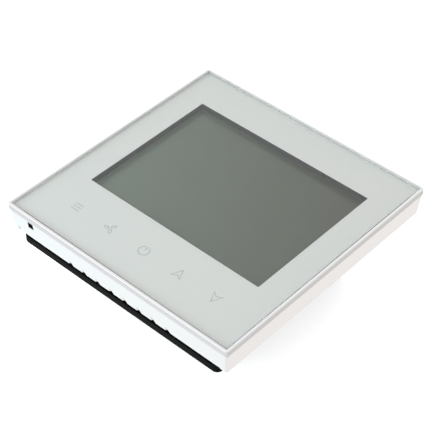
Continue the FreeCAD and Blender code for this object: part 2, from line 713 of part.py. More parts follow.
def display_holder():
    """White plastic frame that holds the display stack on its board."""
    body = new_body("display_holder")
    width = "display_width + 2 * holder_border"
    height = "display_height + contact_ledge + 2 * holder_border"
    centre = "window_rise - contact_ledge / 2"
    depth = f"holder_front - ({BOARD_FRONT})"
    square_pad(body, "frame", width, height, BOARD_FRONT, depth, z=centre)
    square_pocket(body, "display_seat", "display_width + 2 * fit_gap",
                  "display_height + contact_ledge + 2 * fit_gap", "holder_front", depth, z=centre)
    return node(body)


def contact_strip():
    """Elastomer strip that joins the contact ledge to the board."""
    strip_centre = "window_rise - display_height / 2 - contact_ledge / 2 - fit_gap"
    return node(block("contact_strip", "window_width", "connector_depth",
                      f"{FRONT_GLASS_BACK} - ({BOARD_FRONT})", "0", strip_centre, BOARD_FRONT))


# ---------------------------------------------------------------------------------------------
# Front unit: board and what is on it
# ---------------------------------------------------------------------------------------------

def display_board():
    """Circuit board behind the display, with a hole at each boss of the cover."""
    body = new_body("display_board")
    square_pad(body, "board", "display_board_width", "display_board_height", "display_board_front",
               "display_board_thickness")
    for i, (across, rise) in enumerate(FOUR_CORNERS):
        round_pocket(body, f"screw_hole_{i}", "screw_clearance", BOARD_FRONT,
                     "display_board_thickness", f"{across} * boss_across", f"{rise} * boss_rise")
    return node(body)


def small_screw(label, x, z, seat):
    """Pan-head screw with a cross recess: its head lies behind the seat, its thread points forward."""
    thread = post(f"{label}_thread", "small_screw_radius", "small_screw_length", x, z, seat)
    head_back = f"{seat} - small_head_height"
    head = post(f"{label}_head", "small_head_radius", "small_head_height", x, z, head_back)
    arm_length = "2 * small_head_radius - small_head_height"
    arms = [
        block(f"{label}_arm_{i}", width, height, "drive_depth", x, z, head_back)
        for i, (width, height) in enumerate((("drive_width", arm_length), (arm_length, "drive_width")))
    ]
    solid = fuse(f"{label}_solid", [thread, head])
    return cut(label, solid, fuse(f"{label}_recess", arms))


def board_screws():
    """Four screws that hold the display board to the bosses of the cover, heads to the rear."""
    screws = [
        small_screw(f"board_screw_{i}", f"{across} * boss_across", f"{rise} * boss_rise",
                    "display_board_front")
        for i, (across, rise) in enumerate(FOUR_CORNERS)
    ]
    return node(group("board_screws", screws))


def key_pads():
    """Conductive posts that carry the touch of a finger from the glass to the board."""
    pads = []
    for i in range(int(measure("key_count"))):
        x = row_position("key_pitch", "key_count", i)
        pads.append(post(f"key_pad_{i}", "key_pad_radius", f"{MASK_BACK} - ({BOARD_FRONT})",
                         x, "-key_drop", BOARD_FRONT))
    return node(group("key_pads", pads))


def display_board_components():
    """Chips, sounder, backup cell and clock crystal on the rear face of the display board."""
    for part in DISPLAY_BOARD_PARTS:
        node(block(part, f"{part}_width", f"{part}_height", f"{part}_depth", f"{part}_x", f"{part}_z",
                   f"display_board_front - {part}_depth"))
    node(post("backup_cell", "battery_radius", "battery_depth", "-battery_left", "-battery_drop",
              "display_board_front - battery_depth"))
    crystal = post("clock_crystal", "crystal_radius", "crystal_length",
                   "controller_chip_x - crystal_length / 2", "crystal_rise",
                   "display_board_front - crystal_radius", TO_RIGHT)
    node(crystal)


def air_sensor():
    """Glass bead behind the hole in the lower wall, sealed round the ends of two bent leads."""
    ball = doc.addObject("Part::Sphere", "sensor_ball")
    ball.Label = "sensor_ball"
    bind(ball, Radius="bead_radius", base_x="-sensor_left", base_y="-sensor_front",
         base_z="-bead_drop")
    wires = [lead_wire(f"sensor_lead_{i}", side) for i, side in enumerate((-0.5, 0.5))]
    leads = group("sensor_leads", wires)
    node(cut("sensor_bead", ball, leads))
    node(leads)


def lead_wire(label, side):
    """One lead: up from the bead, round one bend and back to the board."""
    x = measure(f"-sensor_left + {side} * lead_pitch")
    y = measure("-sensor_front")
    bend = measure("lead_bend")
    low = measure("-bead_drop + bead_radius / 2")
    high = measure("-lead_drop")
    board = measure(f"-({BOARD_FRONT})")
    slope = bend * math.sqrt(0.5)
    rise = FreeCAD.Vector(x, y, low)
    bend_start = FreeCAD.Vector(x, y, high - bend)
    bend_middle = FreeCAD.Vector(x, y + bend - slope, high - bend + slope)
    bend_end = FreeCAD.Vector(x, y + bend, high)
    end = FreeCAD.Vector(x, board, high)
    arc = Part.Arc(bend_start, bend_middle, bend_end)
    path = Part.Wire([
        Part.LineSegment(rise, bend_start).toShape(),
        arc.toShape(),
        Part.LineSegment(bend_end, end).toShape(),
    ])
    section = Part.Wire(Part.makeCircle(measure("lead_radius"), rise, FreeCAD.Vector(0, 0, 1)))
    lead = doc.addObject("Part::Feature", label)
    lead.Shape = path.makePipeShell([section], True, False)
    return lead


def square_pins(label, width, front, depth, body=None):
    """Two rows of square pins, or of square holes where a body is given."""
    cutting = body is not None
    body = body or new_body(label)
    made = []
    first = "-pin_pitch * (pin_count - 1) / 2"
    for i, side in enumerate((-1, 1)):
        z = f"-plug_drop + {side} * pin_pitch / 2"
        make = square_pocket if cutting else square_pad
        made.append(make(body, f"{label}_{i}", width, width, front, depth, x=first, z=z))
    repeat_along_x(body, f"{label}_row", made, "pin_pitch", "pin_count")
    return body


def plug():
    """Two-row pin plug on the rear face of the display board."""
    back = "display_board_front - plug_depth"
    body = new_body("plug_body")
    square_pad(body, "housing", PLUG_WIDTH, "plug_height", back, "plug_depth", z="-plug_drop")
    node(square_pins("pin_hole", "pin_width", "display_board_front", "plug_depth", body))
    node(square_pins("plug_pins", "pin_width", f"{back} - pin_length", "pin_length + plug_depth"))


# ---------------------------------------------------------------------------------------------
# Rear unit: base with the in-wall box
# ---------------------------------------------------------------------------------------------

def base_plate(body):
    """Flat plate on the wall with a raised rim that the cover closes over."""
    square_pad(body, "plate", "base_width", "base_height", "0", "base_thickness")
    dress_edges(body, "Fillet", "plate_corners", "base_corner_radius", runs_through)
    near_edge = measure("base_width / 2 - base_corner_radius - 1")
    dress_edges(body, "Fillet", "plate_edge", "base_edge_radius", lies_at_front(0.0, near_edge))
    square_pad(body, "neck", "base_width - 2 * neck_inset", "base_height - 2 * neck_inset",
               "base_thickness", "neck_front - base_thickness")
    square_pocket(body, "tray", "base_width - 2 * neck_inset - 2 * neck_wall",
                  "base_height - 2 * neck_inset - 2 * neck_wall", "neck_front",
                  "neck_front - base_floor")


def base_box(body):
    """In-wall box with a step at its lower rear corner for the terminals."""
    inner = "box_size - 2 * box_wall"
    wall_rise = "box_wall - recess_top_drop"
    top = f"({inner}) / 2"
    square_pad(body, "box", "box_size", "box_size", "-box_depth", "box_depth")
    square_pocket(body, "terminal_recess", "box_size + 1", f"box_size / 2 + 1 - recess_top_drop",
                  "-recess_depth", "box_depth - recess_depth",
                  z="-(box_size / 2 + 1 + recess_top_drop) / 2")
    square_pocket(body, "upper_room", inner, f"{top} - ({wall_rise})", "0", "box_depth",
                  z=f"({top} + {wall_rise}) / 2")
    square_pocket(body, "lower_room", inner, f"{top} + {wall_rise}", "0", "recess_depth - box_wall",
                  z=f"(-({top}) + {wall_rise}) / 2")


def base_posts(body):
    """Bosses for the power board and the two posts for the lid."""
    for i, (across, drop) in enumerate(BOARD_BOSSES):
        x = f"{across} * board_boss_across"
        round_pad(body, f"board_boss_{i}", "post_radius", "-power_board_depth", "power_board_depth",
                  x, drop)
        round_pocket(body, f"board_boss_bore_{i}", "boss_bore", "0", "power_board_depth", x, drop)
    post_back = "-(box_depth - rear_cover_thickness - fit_gap)"
    for i, across in enumerate((-1, 1)):
        x = f"{across} * post_across"
        round_pad(body, f"lid_post_{i}", "post_radius", post_back, f"-({post_back})", x, "post_across")
        round_pocket(body, f"lid_post_bore_{i}", "boss_bore", f"{post_back} + small_screw_length",
                     "small_screw_length", x, "post_across")


def base_openings(body):
    """Slots for the wall-box screws, the window for the plug and the slots for the contact tails."""
    for i, across in enumerate((-1, 1)):
        sketch = wall_sketch(body, f"screw_slot_outline_{i}", "base_floor",
                             f"{across} * screw_spacing / 2", "0")
        draw_slot(sketch, "slot_length", "slot_width")
        pocket(body, sketch, f"screw_slot_{i}", "base_floor")
    square_pocket(body, "plug_window", f"{PLUG_WIDTH} + 2 * plug_window_gap",
                  "plug_height + 2 * plug_window_gap", "base_floor", "base_floor", z="-plug_drop")
    slot = tail_slot(body, "box_tail_slot", "-(recess_depth - box_wall)", "box_wall")
    repeat_along_x(body, "box_tail_slots", [slot], "terminal_pitch", "terminal_count")


def tail_slot(body, name, front, depth):
    """Opening for the leftmost contact tail."""
    return square_pocket(body, name, "tail_width + 2 * tail_gap", "plate_thickness + 2 * tail_gap",
                         front, depth, x=row_position("terminal_pitch", "terminal_count", 0),
                         z="tail_rise - terminal_drop")


def wall_base():
    """Black base: the plate on the wall and the box that goes into it."""
    body = new_body("wall_base")
    base_plate(body)
    base_box(body)
    base_posts(body)
    base_openings(body)
    return node(body)


def rear_cover():
    """Lid of the in-wall box, with air slots and seats for its two screws."""
    body = new_body("rear_cover")
    inner = "box_size - 2 * box_wall"
    wall_rise = "box_wall - recess_top_drop"
    height = f"({inner}) / 2 - ({wall_rise}) - 2 * rear_cover_gap"
    centre = f"(({inner}) / 2 + {wall_rise}) / 2"
    square_pad(body, "lid", f"{inner} - 2 * rear_cover_gap", height, "-box_depth",
               "rear_cover_thickness", z=centre)
    for i, across in enumerate((-1, 1)):
        x = f"{across} * post_across"
        round_pocket(body, f"head_seat_{i}", "counterbore_radius", "counterbore_depth - box_depth",
                     "counterbore_depth", x, "post_across")
        round_pocket(body, f"screw_hole_{i}", "screw_clearance", "rear_cover_thickness - box_depth",
                     "rear_cover_thickness", x, "post_across")
    slot = square_pocket(body, "air_slot", "rear_vent_width", "rear_vent_height",
                         "rear_cover_thickness - box_depth", "rear_cover_thickness",
                         x=row_position("rear_vent_pitch", "rear_vent_count", 0), z=centre)
    repeat_along_x(body, "air_slots", [slot], "rear_vent_pitch", "rear_vent_count")
    return node(body)


def lid_screws():
    """Two screws that hold the lid, with their heads in its seats."""
    head_seat = "counterbore_depth - box_depth"
    screws = [
        small_screw(f"lid_screw_{i}", f"{across} * post_across", "post_across", head_seat)
        for i, across in enumerate((-1, 1))
    ]
    return node(group("lid_screws", screws))


# ---------------------------------------------------------------------------------------------
# Rear unit: power board and what is on it
# ---------------------------------------------------------------------------------------------

def power_board():
    """Square board with two cut corners and a hole at each boss."""
    body = new_body("power_board")
    square_pad(body, "board", "power_board_size", "power_board_size", POWER_BACK,
               "power_board_thickness")
    notch_centre = "(power_board_size - power_board_notch) / 2 + 0.5"
    for i, across in enumerate((-1, 1)):
        square_pocket(body, f"corner_{i}", "power_board_notch + 1", "power_board_notch + 1",
                      "-power_board_depth", "power_board_thickness",
                      x=f"{across} * ({notch_centre})", z=notch_centre)
    for i, (across, drop) in enumerate(BOARD_BOSSES):
        round_pocket(body, f"screw_hole_{i}", "screw_clearance", "-power_board_depth",
                     "power_board_thickness", f"{across} * board_boss_across", drop)
    return node(body)


def power_board_screws():
    """Four screws that hold the power board to its bosses, heads to the rear."""
    screws = [
        small_screw(f"power_screw_{i}", f"{across} * board_boss_across", drop, POWER_BACK)
        for i, (across, drop) in enumerate(BOARD_BOSSES)
    ]
    return node(group("power_board_screws", screws))


def on_power_board(label, width, height, depth, x, z):
    return block(label, width, height, depth, x, z, f"{POWER_BACK} - ({depth})")


def switching_parts():
    """Relays for the three fan speeds and the valve, and the regulator chip."""
    relays = []
    for i in range(int(measure("relay_count"))):
        x = row_position("relay_pitch", "relay_count", i)
        relays.append(on_power_board(f"relay_{i}", "relay_width", "relay_height", "relay_depth",
                                     x, "relay_z"))
    node(group("relays", relays))
    part = "regulator_chip"
    node(on_power_board(part, f"{part}_width", f"{part}_height", f"{part}_depth", f"{part}_x",
                        f"{part}_z"))


def transformer():
    """Ferrite core with a window, and the taped winding that passes through it."""
    core = on_power_board("core_block", "transformer_core_width", "transformer_core_height",
                          "transformer_core_depth", "transformer_core_x", "transformer_core_z")
    window = block("core_window", "core_window_width", "transformer_core_height", "core_window_depth",
                   "transformer_core_x", "transformer_core_z",
                   f"{POWER_BACK} - core_leg - core_window_depth")
    node(cut("transformer_core", core, window))
    clearance = "(core_window_depth - transformer_winding_depth) / 2"
    winding_back = f"{POWER_BACK} - core_leg - core_window_depth + {clearance}"
    node(block("transformer_winding", "transformer_winding_width", "transformer_winding_height",
               "transformer_winding_depth", "transformer_winding_x", "transformer_winding_z",
               winding_back))


def supply_parts():
    """Smoothing capacitors, surge absorber and fuse."""
    capacitors = []
    for i in range(int(measure("capacitor_count"))):
        x = f"capacitor_right + {row_position('capacitor_pitch', 'capacitor_count', i)}"
        capacitors.append(post(f"capacitor_{i}", "capacitor_radius", "capacitor_length", x,
                               "-capacitor_drop", f"{POWER_BACK} - capacitor_length"))
    node(group("capacitors", capacitors))
    node(post("surge_absorber", "varistor_radius", "varistor_thickness",
              "varistor_right - varistor_thickness / 2", "-varistor_drop",
              f"{POWER_BACK} - varistor_radius", TO_RIGHT))
    node(post("fuse", "fuse_radius", "fuse_length", "-fuse_left - fuse_length / 2", "-fuse_drop",
              f"{POWER_BACK} - fuse_radius", TO_RIGHT))


def socket():
    """Socket on the front face of the power board that takes the pins of the plug."""
    body = new_body("socket_body")
    front = "display_board_front - plug_depth - socket_gap"
    depth = f"{front} + power_board_depth"
    square_pad(body, "housing", PLUG_WIDTH, "plug_height", "-power_board_depth", depth, z="-plug_drop")
    return node(square_pins("pin_well", "pin_width + 2 * pin_clearance", front, depth, body))


# ---------------------------------------------------------------------------------------------
# Rear unit: terminals
# ---------------------------------------------------------------------------------------------

def terminal_block():
    """Insulating foot with a wall on each side of every terminal."""
    body = new_body("terminal_block")
    square_pad(body, "foot", "terminal_base_width", "terminal_block_height", BLOCK_BACK,
               "terminal_base_thickness", z=BLOCK_CENTRE)
    well = round_pocket(body, "screw_well", "foot_bore", BLOCK_FRONT, "terminal_base_thickness",
                        x=FIRST_TERMINAL, z="-terminal_drop")
    slot = tail_slot(body, "block_tail_slot", BLOCK_FRONT, "terminal_base_thickness")
    repeat_along_x(body, "terminal_openings", [well, slot], "terminal_pitch", "terminal_count")
    barrier = square_pad(body, "barrier", "barrier_thickness", "terminal_block_height",
                         f"{BLOCK_BACK} - barrier_height", "barrier_height",
                         x=f"{FIRST_TERMINAL} - terminal_pitch / 2", z=BLOCK_CENTRE)
    repeat_along_x(body, "barriers", [barrier], "terminal_pitch", "terminal_count + 1")
    return node(body)


def contact_plates():
    """Brass plate under each terminal screw, with a tail to the power board."""
    body = new_body("contact_plates")
    plate = square_pad(body, "plate", "plate_width", "plate_height", PLATE_BACK, "plate_thickness",
                       x=FIRST_TERMINAL, z="-terminal_drop")
    tail = square_pad(body, "tail", "tail_width", "plate_thickness", BLOCK_BACK,
                      f"{POWER_BACK} - ({BLOCK_BACK})", x=FIRST_TERMINAL,
                      z="tail_rise - terminal_drop")
    bore = round_pocket(body, "screw_bore", "terminal_screw_radius + thread_gap", BLOCK_BACK,
                        "plate_thickness", x=FIRST_TERMINAL, z="-terminal_drop")
    repeat_along_x(body, "plates", [plate, tail, bore], "terminal_pitch", "terminal_count")
    return node(body)


def terminal_clamp(number, x):
    """Square washer that presses a wire onto its contact plate."""
    label = f"terminal_clamp_{number}"
    washer = block(f"{label}_plate", "clamp_size", "clamp_size", "clamp_thickness", x,
                   "-terminal_drop", CLAMP_BACK)
    bore = post(f"{label}_bore", "clamp_bore", "clamp_thickness", x, "-terminal_drop", CLAMP_BACK)
    return node(cut(label, washer, bore))


def terminal_screw(number, x):
    """Slotted screw through washer and plate, its head to the rear."""
    label = f"terminal_screw_{number}"
    thread = post(f"{label}_thread", "terminal_screw_radius", "terminal_screw_length", x,
                  "-terminal_drop", CLAMP_BACK)
    head_back = f"{CLAMP_BACK} - terminal_head_height"
    head = post(f"{label}_head", "terminal_head_radius", "terminal_head_height", x, "-terminal_drop",
                head_back)
    slot = block(f"{label}_slot", "2 * terminal_head_radius + 1", "terminal_drive_width",
                 "terminal_drive_depth", x, "-terminal_drop", head_back)
    return node(cut(label, fuse(f"{label}_solid", [thread, head]), slot))


def terminals():
    for i in range(int(measure("terminal_count"))):
        x = row_position("terminal_pitch", "terminal_count", i)
        terminal_clamp(i + 1, x)
        terminal_screw(i + 1, x)


# ---------------------------------------------------------------------------------------------
# The whole thermostat
# ---------------------------------------------------------------------------------------------

def build():
    glass_panel()
    printed_mask()
    bezel_frame()
    front_cover()
    window_gasket()
    display_cell()
    backlight()
    display_holder()
    contact_strip()
    display_board()
    board_screws()
    key_pads()
    display_board_components()
    air_sensor()
    plug()
    wall_base()
    rear_cover()
    lid_screws()
    power_board()
    power_board_screws()
    switching_parts()
    transformer()
    supply_parts()
    socket()
    terminal_block()
    contact_plates()
    terminals()
    doc.recompute()


CUTTING_FEATURES = ("PartDesign::Pocket", "PartDesign::SubtractiveBox", "PartDesign::SubtractiveCone")


def check():
    """Stop on any failed object, empty or invalid shape, or cut that removes nothing."""
    for item in doc.Objects:
        faults = {"Invalid", "Error"} & set(item.State)
        if faults:
            raise RuntimeError(f"{item.Label}: {faults}")
        if item.TypeId in CUTTING_FEATURES and item.BaseFeature is not None:
            if item.Shape.Volume > item.BaseFeature.Shape.Volume - 1e-4:
                raise RuntimeError(f"{item.Label} cuts nothing")
    for item in NODES:
        if item.Shape.isNull() or not item.Shape.isValid() or not item.Shape.Solids:
            raise RuntimeError(f"{item.Label} has no valid solid")


def write():
    os.makedirs("parts", exist_ok=True)
    for item in NODES:
        item.Shape.exportStep(f"parts/{item.Label}.step")
        box = item.Shape.optimalBoundingBox()
        print(f"{item.Label:22s} solids {len(item.Shape.Solids):2d}  volume {item.Shape.Volume:9.1f}"
              f"  x {box.XMin:7.2f} {box.XMax:7.2f}  y {box.YMin:7.2f} {box.YMax:7.2f}"
              f"  z {box.ZMin:7.2f} {box.ZMax:7.2f}")


build()
check()
write()
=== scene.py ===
# %% [markdown]
# # A touch thermostat for the wall
# The real one is a square glass front in a thin silver rim, on a white moulded cover that clips
# to a black wall base. The base has a box behind it that goes into the wall, with the relays
# and the wire terminals. This lesson takes the finished shapes as they come and gives each
# piece its finish, its light and its small details: printed keys, chip legs and tracks.
# Lengths are in metres throughout, so small sizes are written as a number of millimetres
# times MM.

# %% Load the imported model
import json
import math

import bmesh
import bpy
from mathutils import Matrix, Vector


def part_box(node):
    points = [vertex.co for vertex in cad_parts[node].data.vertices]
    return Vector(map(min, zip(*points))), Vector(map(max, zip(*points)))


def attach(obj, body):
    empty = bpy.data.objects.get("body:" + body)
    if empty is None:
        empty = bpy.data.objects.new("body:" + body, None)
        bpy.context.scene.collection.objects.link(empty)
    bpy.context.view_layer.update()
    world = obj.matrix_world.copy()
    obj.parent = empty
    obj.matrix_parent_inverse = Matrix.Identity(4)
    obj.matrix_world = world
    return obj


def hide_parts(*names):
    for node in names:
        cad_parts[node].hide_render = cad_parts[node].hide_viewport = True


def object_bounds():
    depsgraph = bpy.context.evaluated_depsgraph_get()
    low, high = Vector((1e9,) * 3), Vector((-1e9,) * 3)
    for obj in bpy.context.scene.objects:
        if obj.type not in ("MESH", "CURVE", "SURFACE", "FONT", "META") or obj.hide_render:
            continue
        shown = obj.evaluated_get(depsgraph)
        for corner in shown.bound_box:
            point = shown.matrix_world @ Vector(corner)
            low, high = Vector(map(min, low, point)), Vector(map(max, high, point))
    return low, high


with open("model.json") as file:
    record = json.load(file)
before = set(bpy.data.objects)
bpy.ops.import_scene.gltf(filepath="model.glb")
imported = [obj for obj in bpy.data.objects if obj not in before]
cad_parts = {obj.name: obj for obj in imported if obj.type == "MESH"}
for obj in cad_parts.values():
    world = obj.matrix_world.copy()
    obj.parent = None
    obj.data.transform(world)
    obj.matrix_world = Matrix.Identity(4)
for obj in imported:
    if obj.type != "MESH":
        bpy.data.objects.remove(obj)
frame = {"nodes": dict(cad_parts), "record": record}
CAD_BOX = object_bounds()
MM = 0.001

nodes = frame["nodes"]
pieces_of_slot = {}
for part in frame["record"]["subparts"]:
    pieces_of_slot.setdefault(part["material_slot"], []).append(nodes[part["node"]])

print("nodes", len(nodes), "slots", len(pieces_of_slot))

# %% [markdown]
# ## Camera
# The thermostat lies on its back and is looked at across one corner. The wall's upward
# direction points away from the viewer, so the camera's own up is the way out of the wall.
# A camera can be aimed with a constraint, but plain vectors show what is going on: a
# point to look at, a direction to stand in, a distance and a little roll.

# %% Camera
AIM = Vector((5.3, -13.3, -6.5)) * MM
DISTANCE = 402.7 * MM
AROUND = math.radians(43.0)
RISE = math.radians(43.1)
ROLL = math.radians(-0.62)
LENS = 117.8
SENSOR = 36.0
NEAREST = 0.01


def add_to_scene(name, data):
    """A new object in the scene that holds a mesh, a light or a camera."""
    made = bpy.data.objects.new(name, data)
    bpy.context.scene.collection.objects.link(made)
    return made


out_of_wall = Vector((0.0, -1.0, 0.0))
towards_camera = Vector((
    math.cos(RISE) * math.sin(AROUND),
    -math.sin(RISE),
    -math.cos(RISE) * math.cos(AROUND),
))
camera_right = out_of_wall.cross(towards_camera).normalized()
camera_up = towards_camera.cross(camera_right)
turned = Matrix((camera_right, camera_up, towards_camera)).transposed()
camera = add_to_scene("camera", bpy.data.cameras.new("camera"))
camera.data.lens = LENS
camera.data.sensor_width = SENSOR
camera.data.clip_start = NEAREST
camera.matrix_world = (
    Matrix.Translation(AIM + towards_camera * DISTANCE)
    @ turned.to_4x4()
    @ Matrix.Rotation(ROLL, 4, "Z")
)
bpy.context.scene.camera = camera
print("camera at", [round(c, 4) for c in camera.matrix_world.translation])

# %% [markdown]
# ## Small helpers for shader nodes
# Every finish below is a tree of shader nodes. Writing each node takes three or four lines,
# so a few helpers keep the trees short. `add` makes one node and fills or links its inputs
# by name, `spread` maps a value from one range to another, `combine` does arithmetic, and
# `tint` mixes colours. The trees could be drawn by hand in the shader editor, but then the
# same group of nodes would be drawn a dozen times.

# %% Shader node helpers
def add(tree, kind, inputs=None, **settings):
    """One shader node. An input is a value, or the output of another node."""
    made = tree.nodes.new(kind)
    for name, value in settings.items():
        setattr(made, name, value)
    for name, value in (inputs or {}).items():
        if isinstance(value, bpy.types.NodeSocket):
            tree.links.new(value, made.inputs[name])
        else:
            made.inputs[name].default_value = value
    return made


def spread(tree, value, low, high, to_low, to_high):
    """A value mapped from one range to another and kept inside it."""
    ranged = {"Value": value, "From Min": low, "From Max": high, "To Min": to_low, "To Max": to_high}
    return add(tree, "ShaderNodeMapRange", ranged).outputs["Result"]


def combine(tree, operation, result, *others):
    """Values put together by one kind of arithmetic, from the first to the last."""
    for other in others:
        result = add(tree, "ShaderNodeMath", {0: result, 1: other}, operation=operation).outputs["Value"]
    return result


def swing(tree, value, amount):
    """A value between 0 and 1 made to swing about 0 by an amount."""
    return combine(tree, "MULTIPLY", combine(tree, "SUBTRACT", value, 0.5), amount)


def tint(tree, factor, first, second):
    """Two colours mixed by a factor."""
    mixed = add(tree, "ShaderNodeMix", data_type="RGBA")
    places = {"Factor_Float": factor, "A_Color": first, "B_Color": second}
    for socket in mixed.inputs:
        if socket.identifier in places:
            value = places[socket.identifier]
            if isinstance(value, bpy.types.NodeSocket):
                tree.links.new(value, socket)
            else:
                socket.default_value = value
    return next(s for s in mixed.outputs if s.identifier == "Result_Color")


def own_place(tree):
    """Where each point of the surface lies, in the frame of the piece."""
    return add(tree, "ShaderNodeTexCoord").outputs["Object"]


def along_axis(tree, axis):
    """The coordinate of that place along one axis."""
    return add(tree, "ShaderNodeSeparateXYZ", {"Vector": own_place(tree)}).outputs[axis]


def noise(tree, scale, detail=2.0, where=None):
    """A noise value on the piece itself; scale is the number of lumps per metre."""
    spot = where or own_place(tree)
    return add(tree, "ShaderNodeTexNoise", {"Vector": spot, "Scale": scale, "Detail": detail}).outputs["Fac"]


def new_group(name, inputs, outputs):
    """An empty node group with named sockets, its input sockets and its output node."""
    group = bpy.data.node_groups.new(name, "ShaderNodeTree")
    for label, kind, default in inputs:
        group.interface.new_socket(label, in_out="INPUT", socket_type=kind).default_value = default
    for label, kind in outputs:
        group.interface.new_socket(label, in_out="OUTPUT", socket_type=kind)
    entry = group.nodes.new("NodeGroupInput")
    leave = group.nodes.new("NodeGroupOutput")
    return group, entry.outputs, leave


def socket_names(values):
    """The same values by socket name: an underscore in a word here is a space in the socket's."""
    return {word.replace("_", " "): value for word, value in values.items()}


def place(tree, group, **inputs):
    """A node group placed in a material with this material's own values."""
    return add(tree, "ShaderNodeGroup", socket_names(inputs), node_tree=group).outputs


print("helpers ready")

# %% [markdown]
# ## Shared surface effects
# Real surfaces share a few habits, whatever they are made of. Moulded plastic copies the
# spark-eroded skin of its mould. Outer edges get rubbed by hands and cartons, and here they also
# carry a painted highlight. Gloss shows faint finger smudges. Rolled or turned metal keeps fine
# lines. Inner corners get a tone: dust on dark parts, painted shade on pale ones.
# Each habit is one node group with named inputs, so that every material can use it with its
# own amounts. A texture picture could do the same, but it would have one fixed scale.
# Lumps are counted per metre, and a pair of values gives the ends of a range.

# %% Moulded skin
SLOW_LUMPS = 90.0
SHINE_DRIFT = 2.0


def build_moulded_skin():
    """Fine mould grain with slow drifts of tone, for every moulded plastic."""
    group, given, leave = new_group(
        "moulded skin",
        [("Colour", "NodeSocketColor", (0.5, 0.5, 0.5, 1.0)),
         ("Base Roughness", "NodeSocketFloat", 0.5),
         ("Grain", "NodeSocketFloat", 6000.0),
         ("Drift", "NodeSocketFloat", 0.04)],
        [("Colour", "NodeSocketColor"), ("Roughness", "NodeSocketFloat"), ("Height", "NodeSocketFloat")],
    )
    fine = noise(group, given["Grain"], 3.0)
    slow = noise(group, SLOW_LUMPS)
    light = swing(group, slow, given["Drift"])
    shade = combine(group, "ADD", light, swing(group, fine, given["Drift"]), 1.0)
    toned = add(group, "ShaderNodeVectorMath", {0: given["Colour"], 1: shade}, operation="MULTIPLY")
    rough = combine(group, "ADD", given["Base Roughness"], combine(group, "MULTIPLY", light, SHINE_DRIFT))
    group.links.new(toned.outputs["Vector"], leave.inputs["Colour"])
    group.links.new(rough, leave.inputs["Roughness"])
    group.links.new(fine, leave.inputs["Height"])
    return group


moulded_skin = build_moulded_skin()
print("group", moulded_skin.name)

# %% Rubbed edges and painted edge highlight
EDGE_LEAN = (1.0, 0.8)
EDGE_LUMPS = 700.0
EDGE_PATCHES = (0.35, 0.65)
LEAST_EDGE = 0.3


def build_edge_wear_and_highlight():
    """A mask of the outer edges, broken up by noise, where handling has rubbed the surface and a painted
    highlight lightens it.
    """
    group, given, leave = new_group(
        "edge wear and highlight",
        [("Width", "NodeSocketFloat", 0.3 * MM), ("Strength", "NodeSocketFloat", 1.0)],
        [("Mask", "NodeSocketFloat")],
    )
    rounded = add(group, "ShaderNodeBevel", {"Radius": given["Width"]}, samples=4)
    flat = add(group, "ShaderNodeNewGeometry")
    normals = {0: rounded.outputs["Normal"], 1: flat.outputs["Normal"]}
    lean = add(group, "ShaderNodeVectorMath", normals, operation="DOT_PRODUCT").outputs["Value"]
    edge = spread(group, lean, *EDGE_LEAN, 0.0, 1.0)
    broken = spread(group, noise(group, EDGE_LUMPS, 3.0), *EDGE_PATCHES, LEAST_EDGE, 1.0)
    # the finishes that use this mask lighten the edges with it: partly wear, partly a painted highlight
    mask = combine(group, "MULTIPLY", edge, broken, given["Strength"])
    group.links.new(mask, leave.inputs["Mask"])
    return group


edge_wear_and_highlight = build_edge_wear_and_highlight()
print("group", edge_wear_and_highlight.name)

# %% Finger smudges
SMEAR_LUMPS = 130.0
SMEAR_PATCHES = (0.5, 0.7)


def build_smudges():
    """Roughness of a gloss surface that has been touched: clean areas and soft smears."""
    group, given, leave = new_group(
        "finger smudges",
        [("Clean Roughness", "NodeSocketFloat", 0.05), ("Amount", "NodeSocketFloat", 0.05)],
        [("Roughness", "NodeSocketFloat"), ("Mask", "NodeSocketFloat")],
    )
    smear = spread(group, noise(group, SMEAR_LUMPS, 4.0), *SMEAR_PATCHES, 0.0, 1.0)
    smeared = combine(group, "MULTIPLY", smear, given["Amount"])
    rough = combine(group, "ADD", given["Clean Roughness"], smeared)
    group.links.new(rough, leave.inputs["Roughness"])
    group.links.new(smear, leave.inputs["Mask"])
    return group


smudges = build_smudges()
print("group", smudges.name)

# %% Drawn metal lines
def build_drawn_lines():
    """Fine lines that drawing, rolling or turning leaves in metal, stretched along one way."""
    group, given, leave = new_group(
        "drawn lines",
        [("Stretch", "NodeSocketVector", (300.0, 9000.0, 9000.0)),
         ("Base Roughness", "NodeSocketFloat", 0.3),
         ("Amount", "NodeSocketFloat", 0.15)],
        [("Roughness", "NodeSocketFloat"), ("Height", "NodeSocketFloat")],
    )
    stretched = {0: own_place(group), 1: given["Stretch"]}
    pulled = add(group, "ShaderNodeVectorMath", stretched, operation="MULTIPLY")
    lines = noise(group, 1.0, 3.0, pulled.outputs["Vector"])
    rough = combine(group, "ADD", given["Base Roughness"], swing(group, lines, given["Amount"]))
    group.links.new(rough, leave.inputs["Roughness"])
    group.links.new(lines, leave.inputs["Height"])
    return group


drawn_lines = build_drawn_lines()
print("group", drawn_lines.name)

# %% Corner dust and painted corner shade
CORNER_SHADE = (0.75, 0.35)
CORNER_LUMPS = 1500.0
CORNER_PATCHES = (0.4, 0.7)


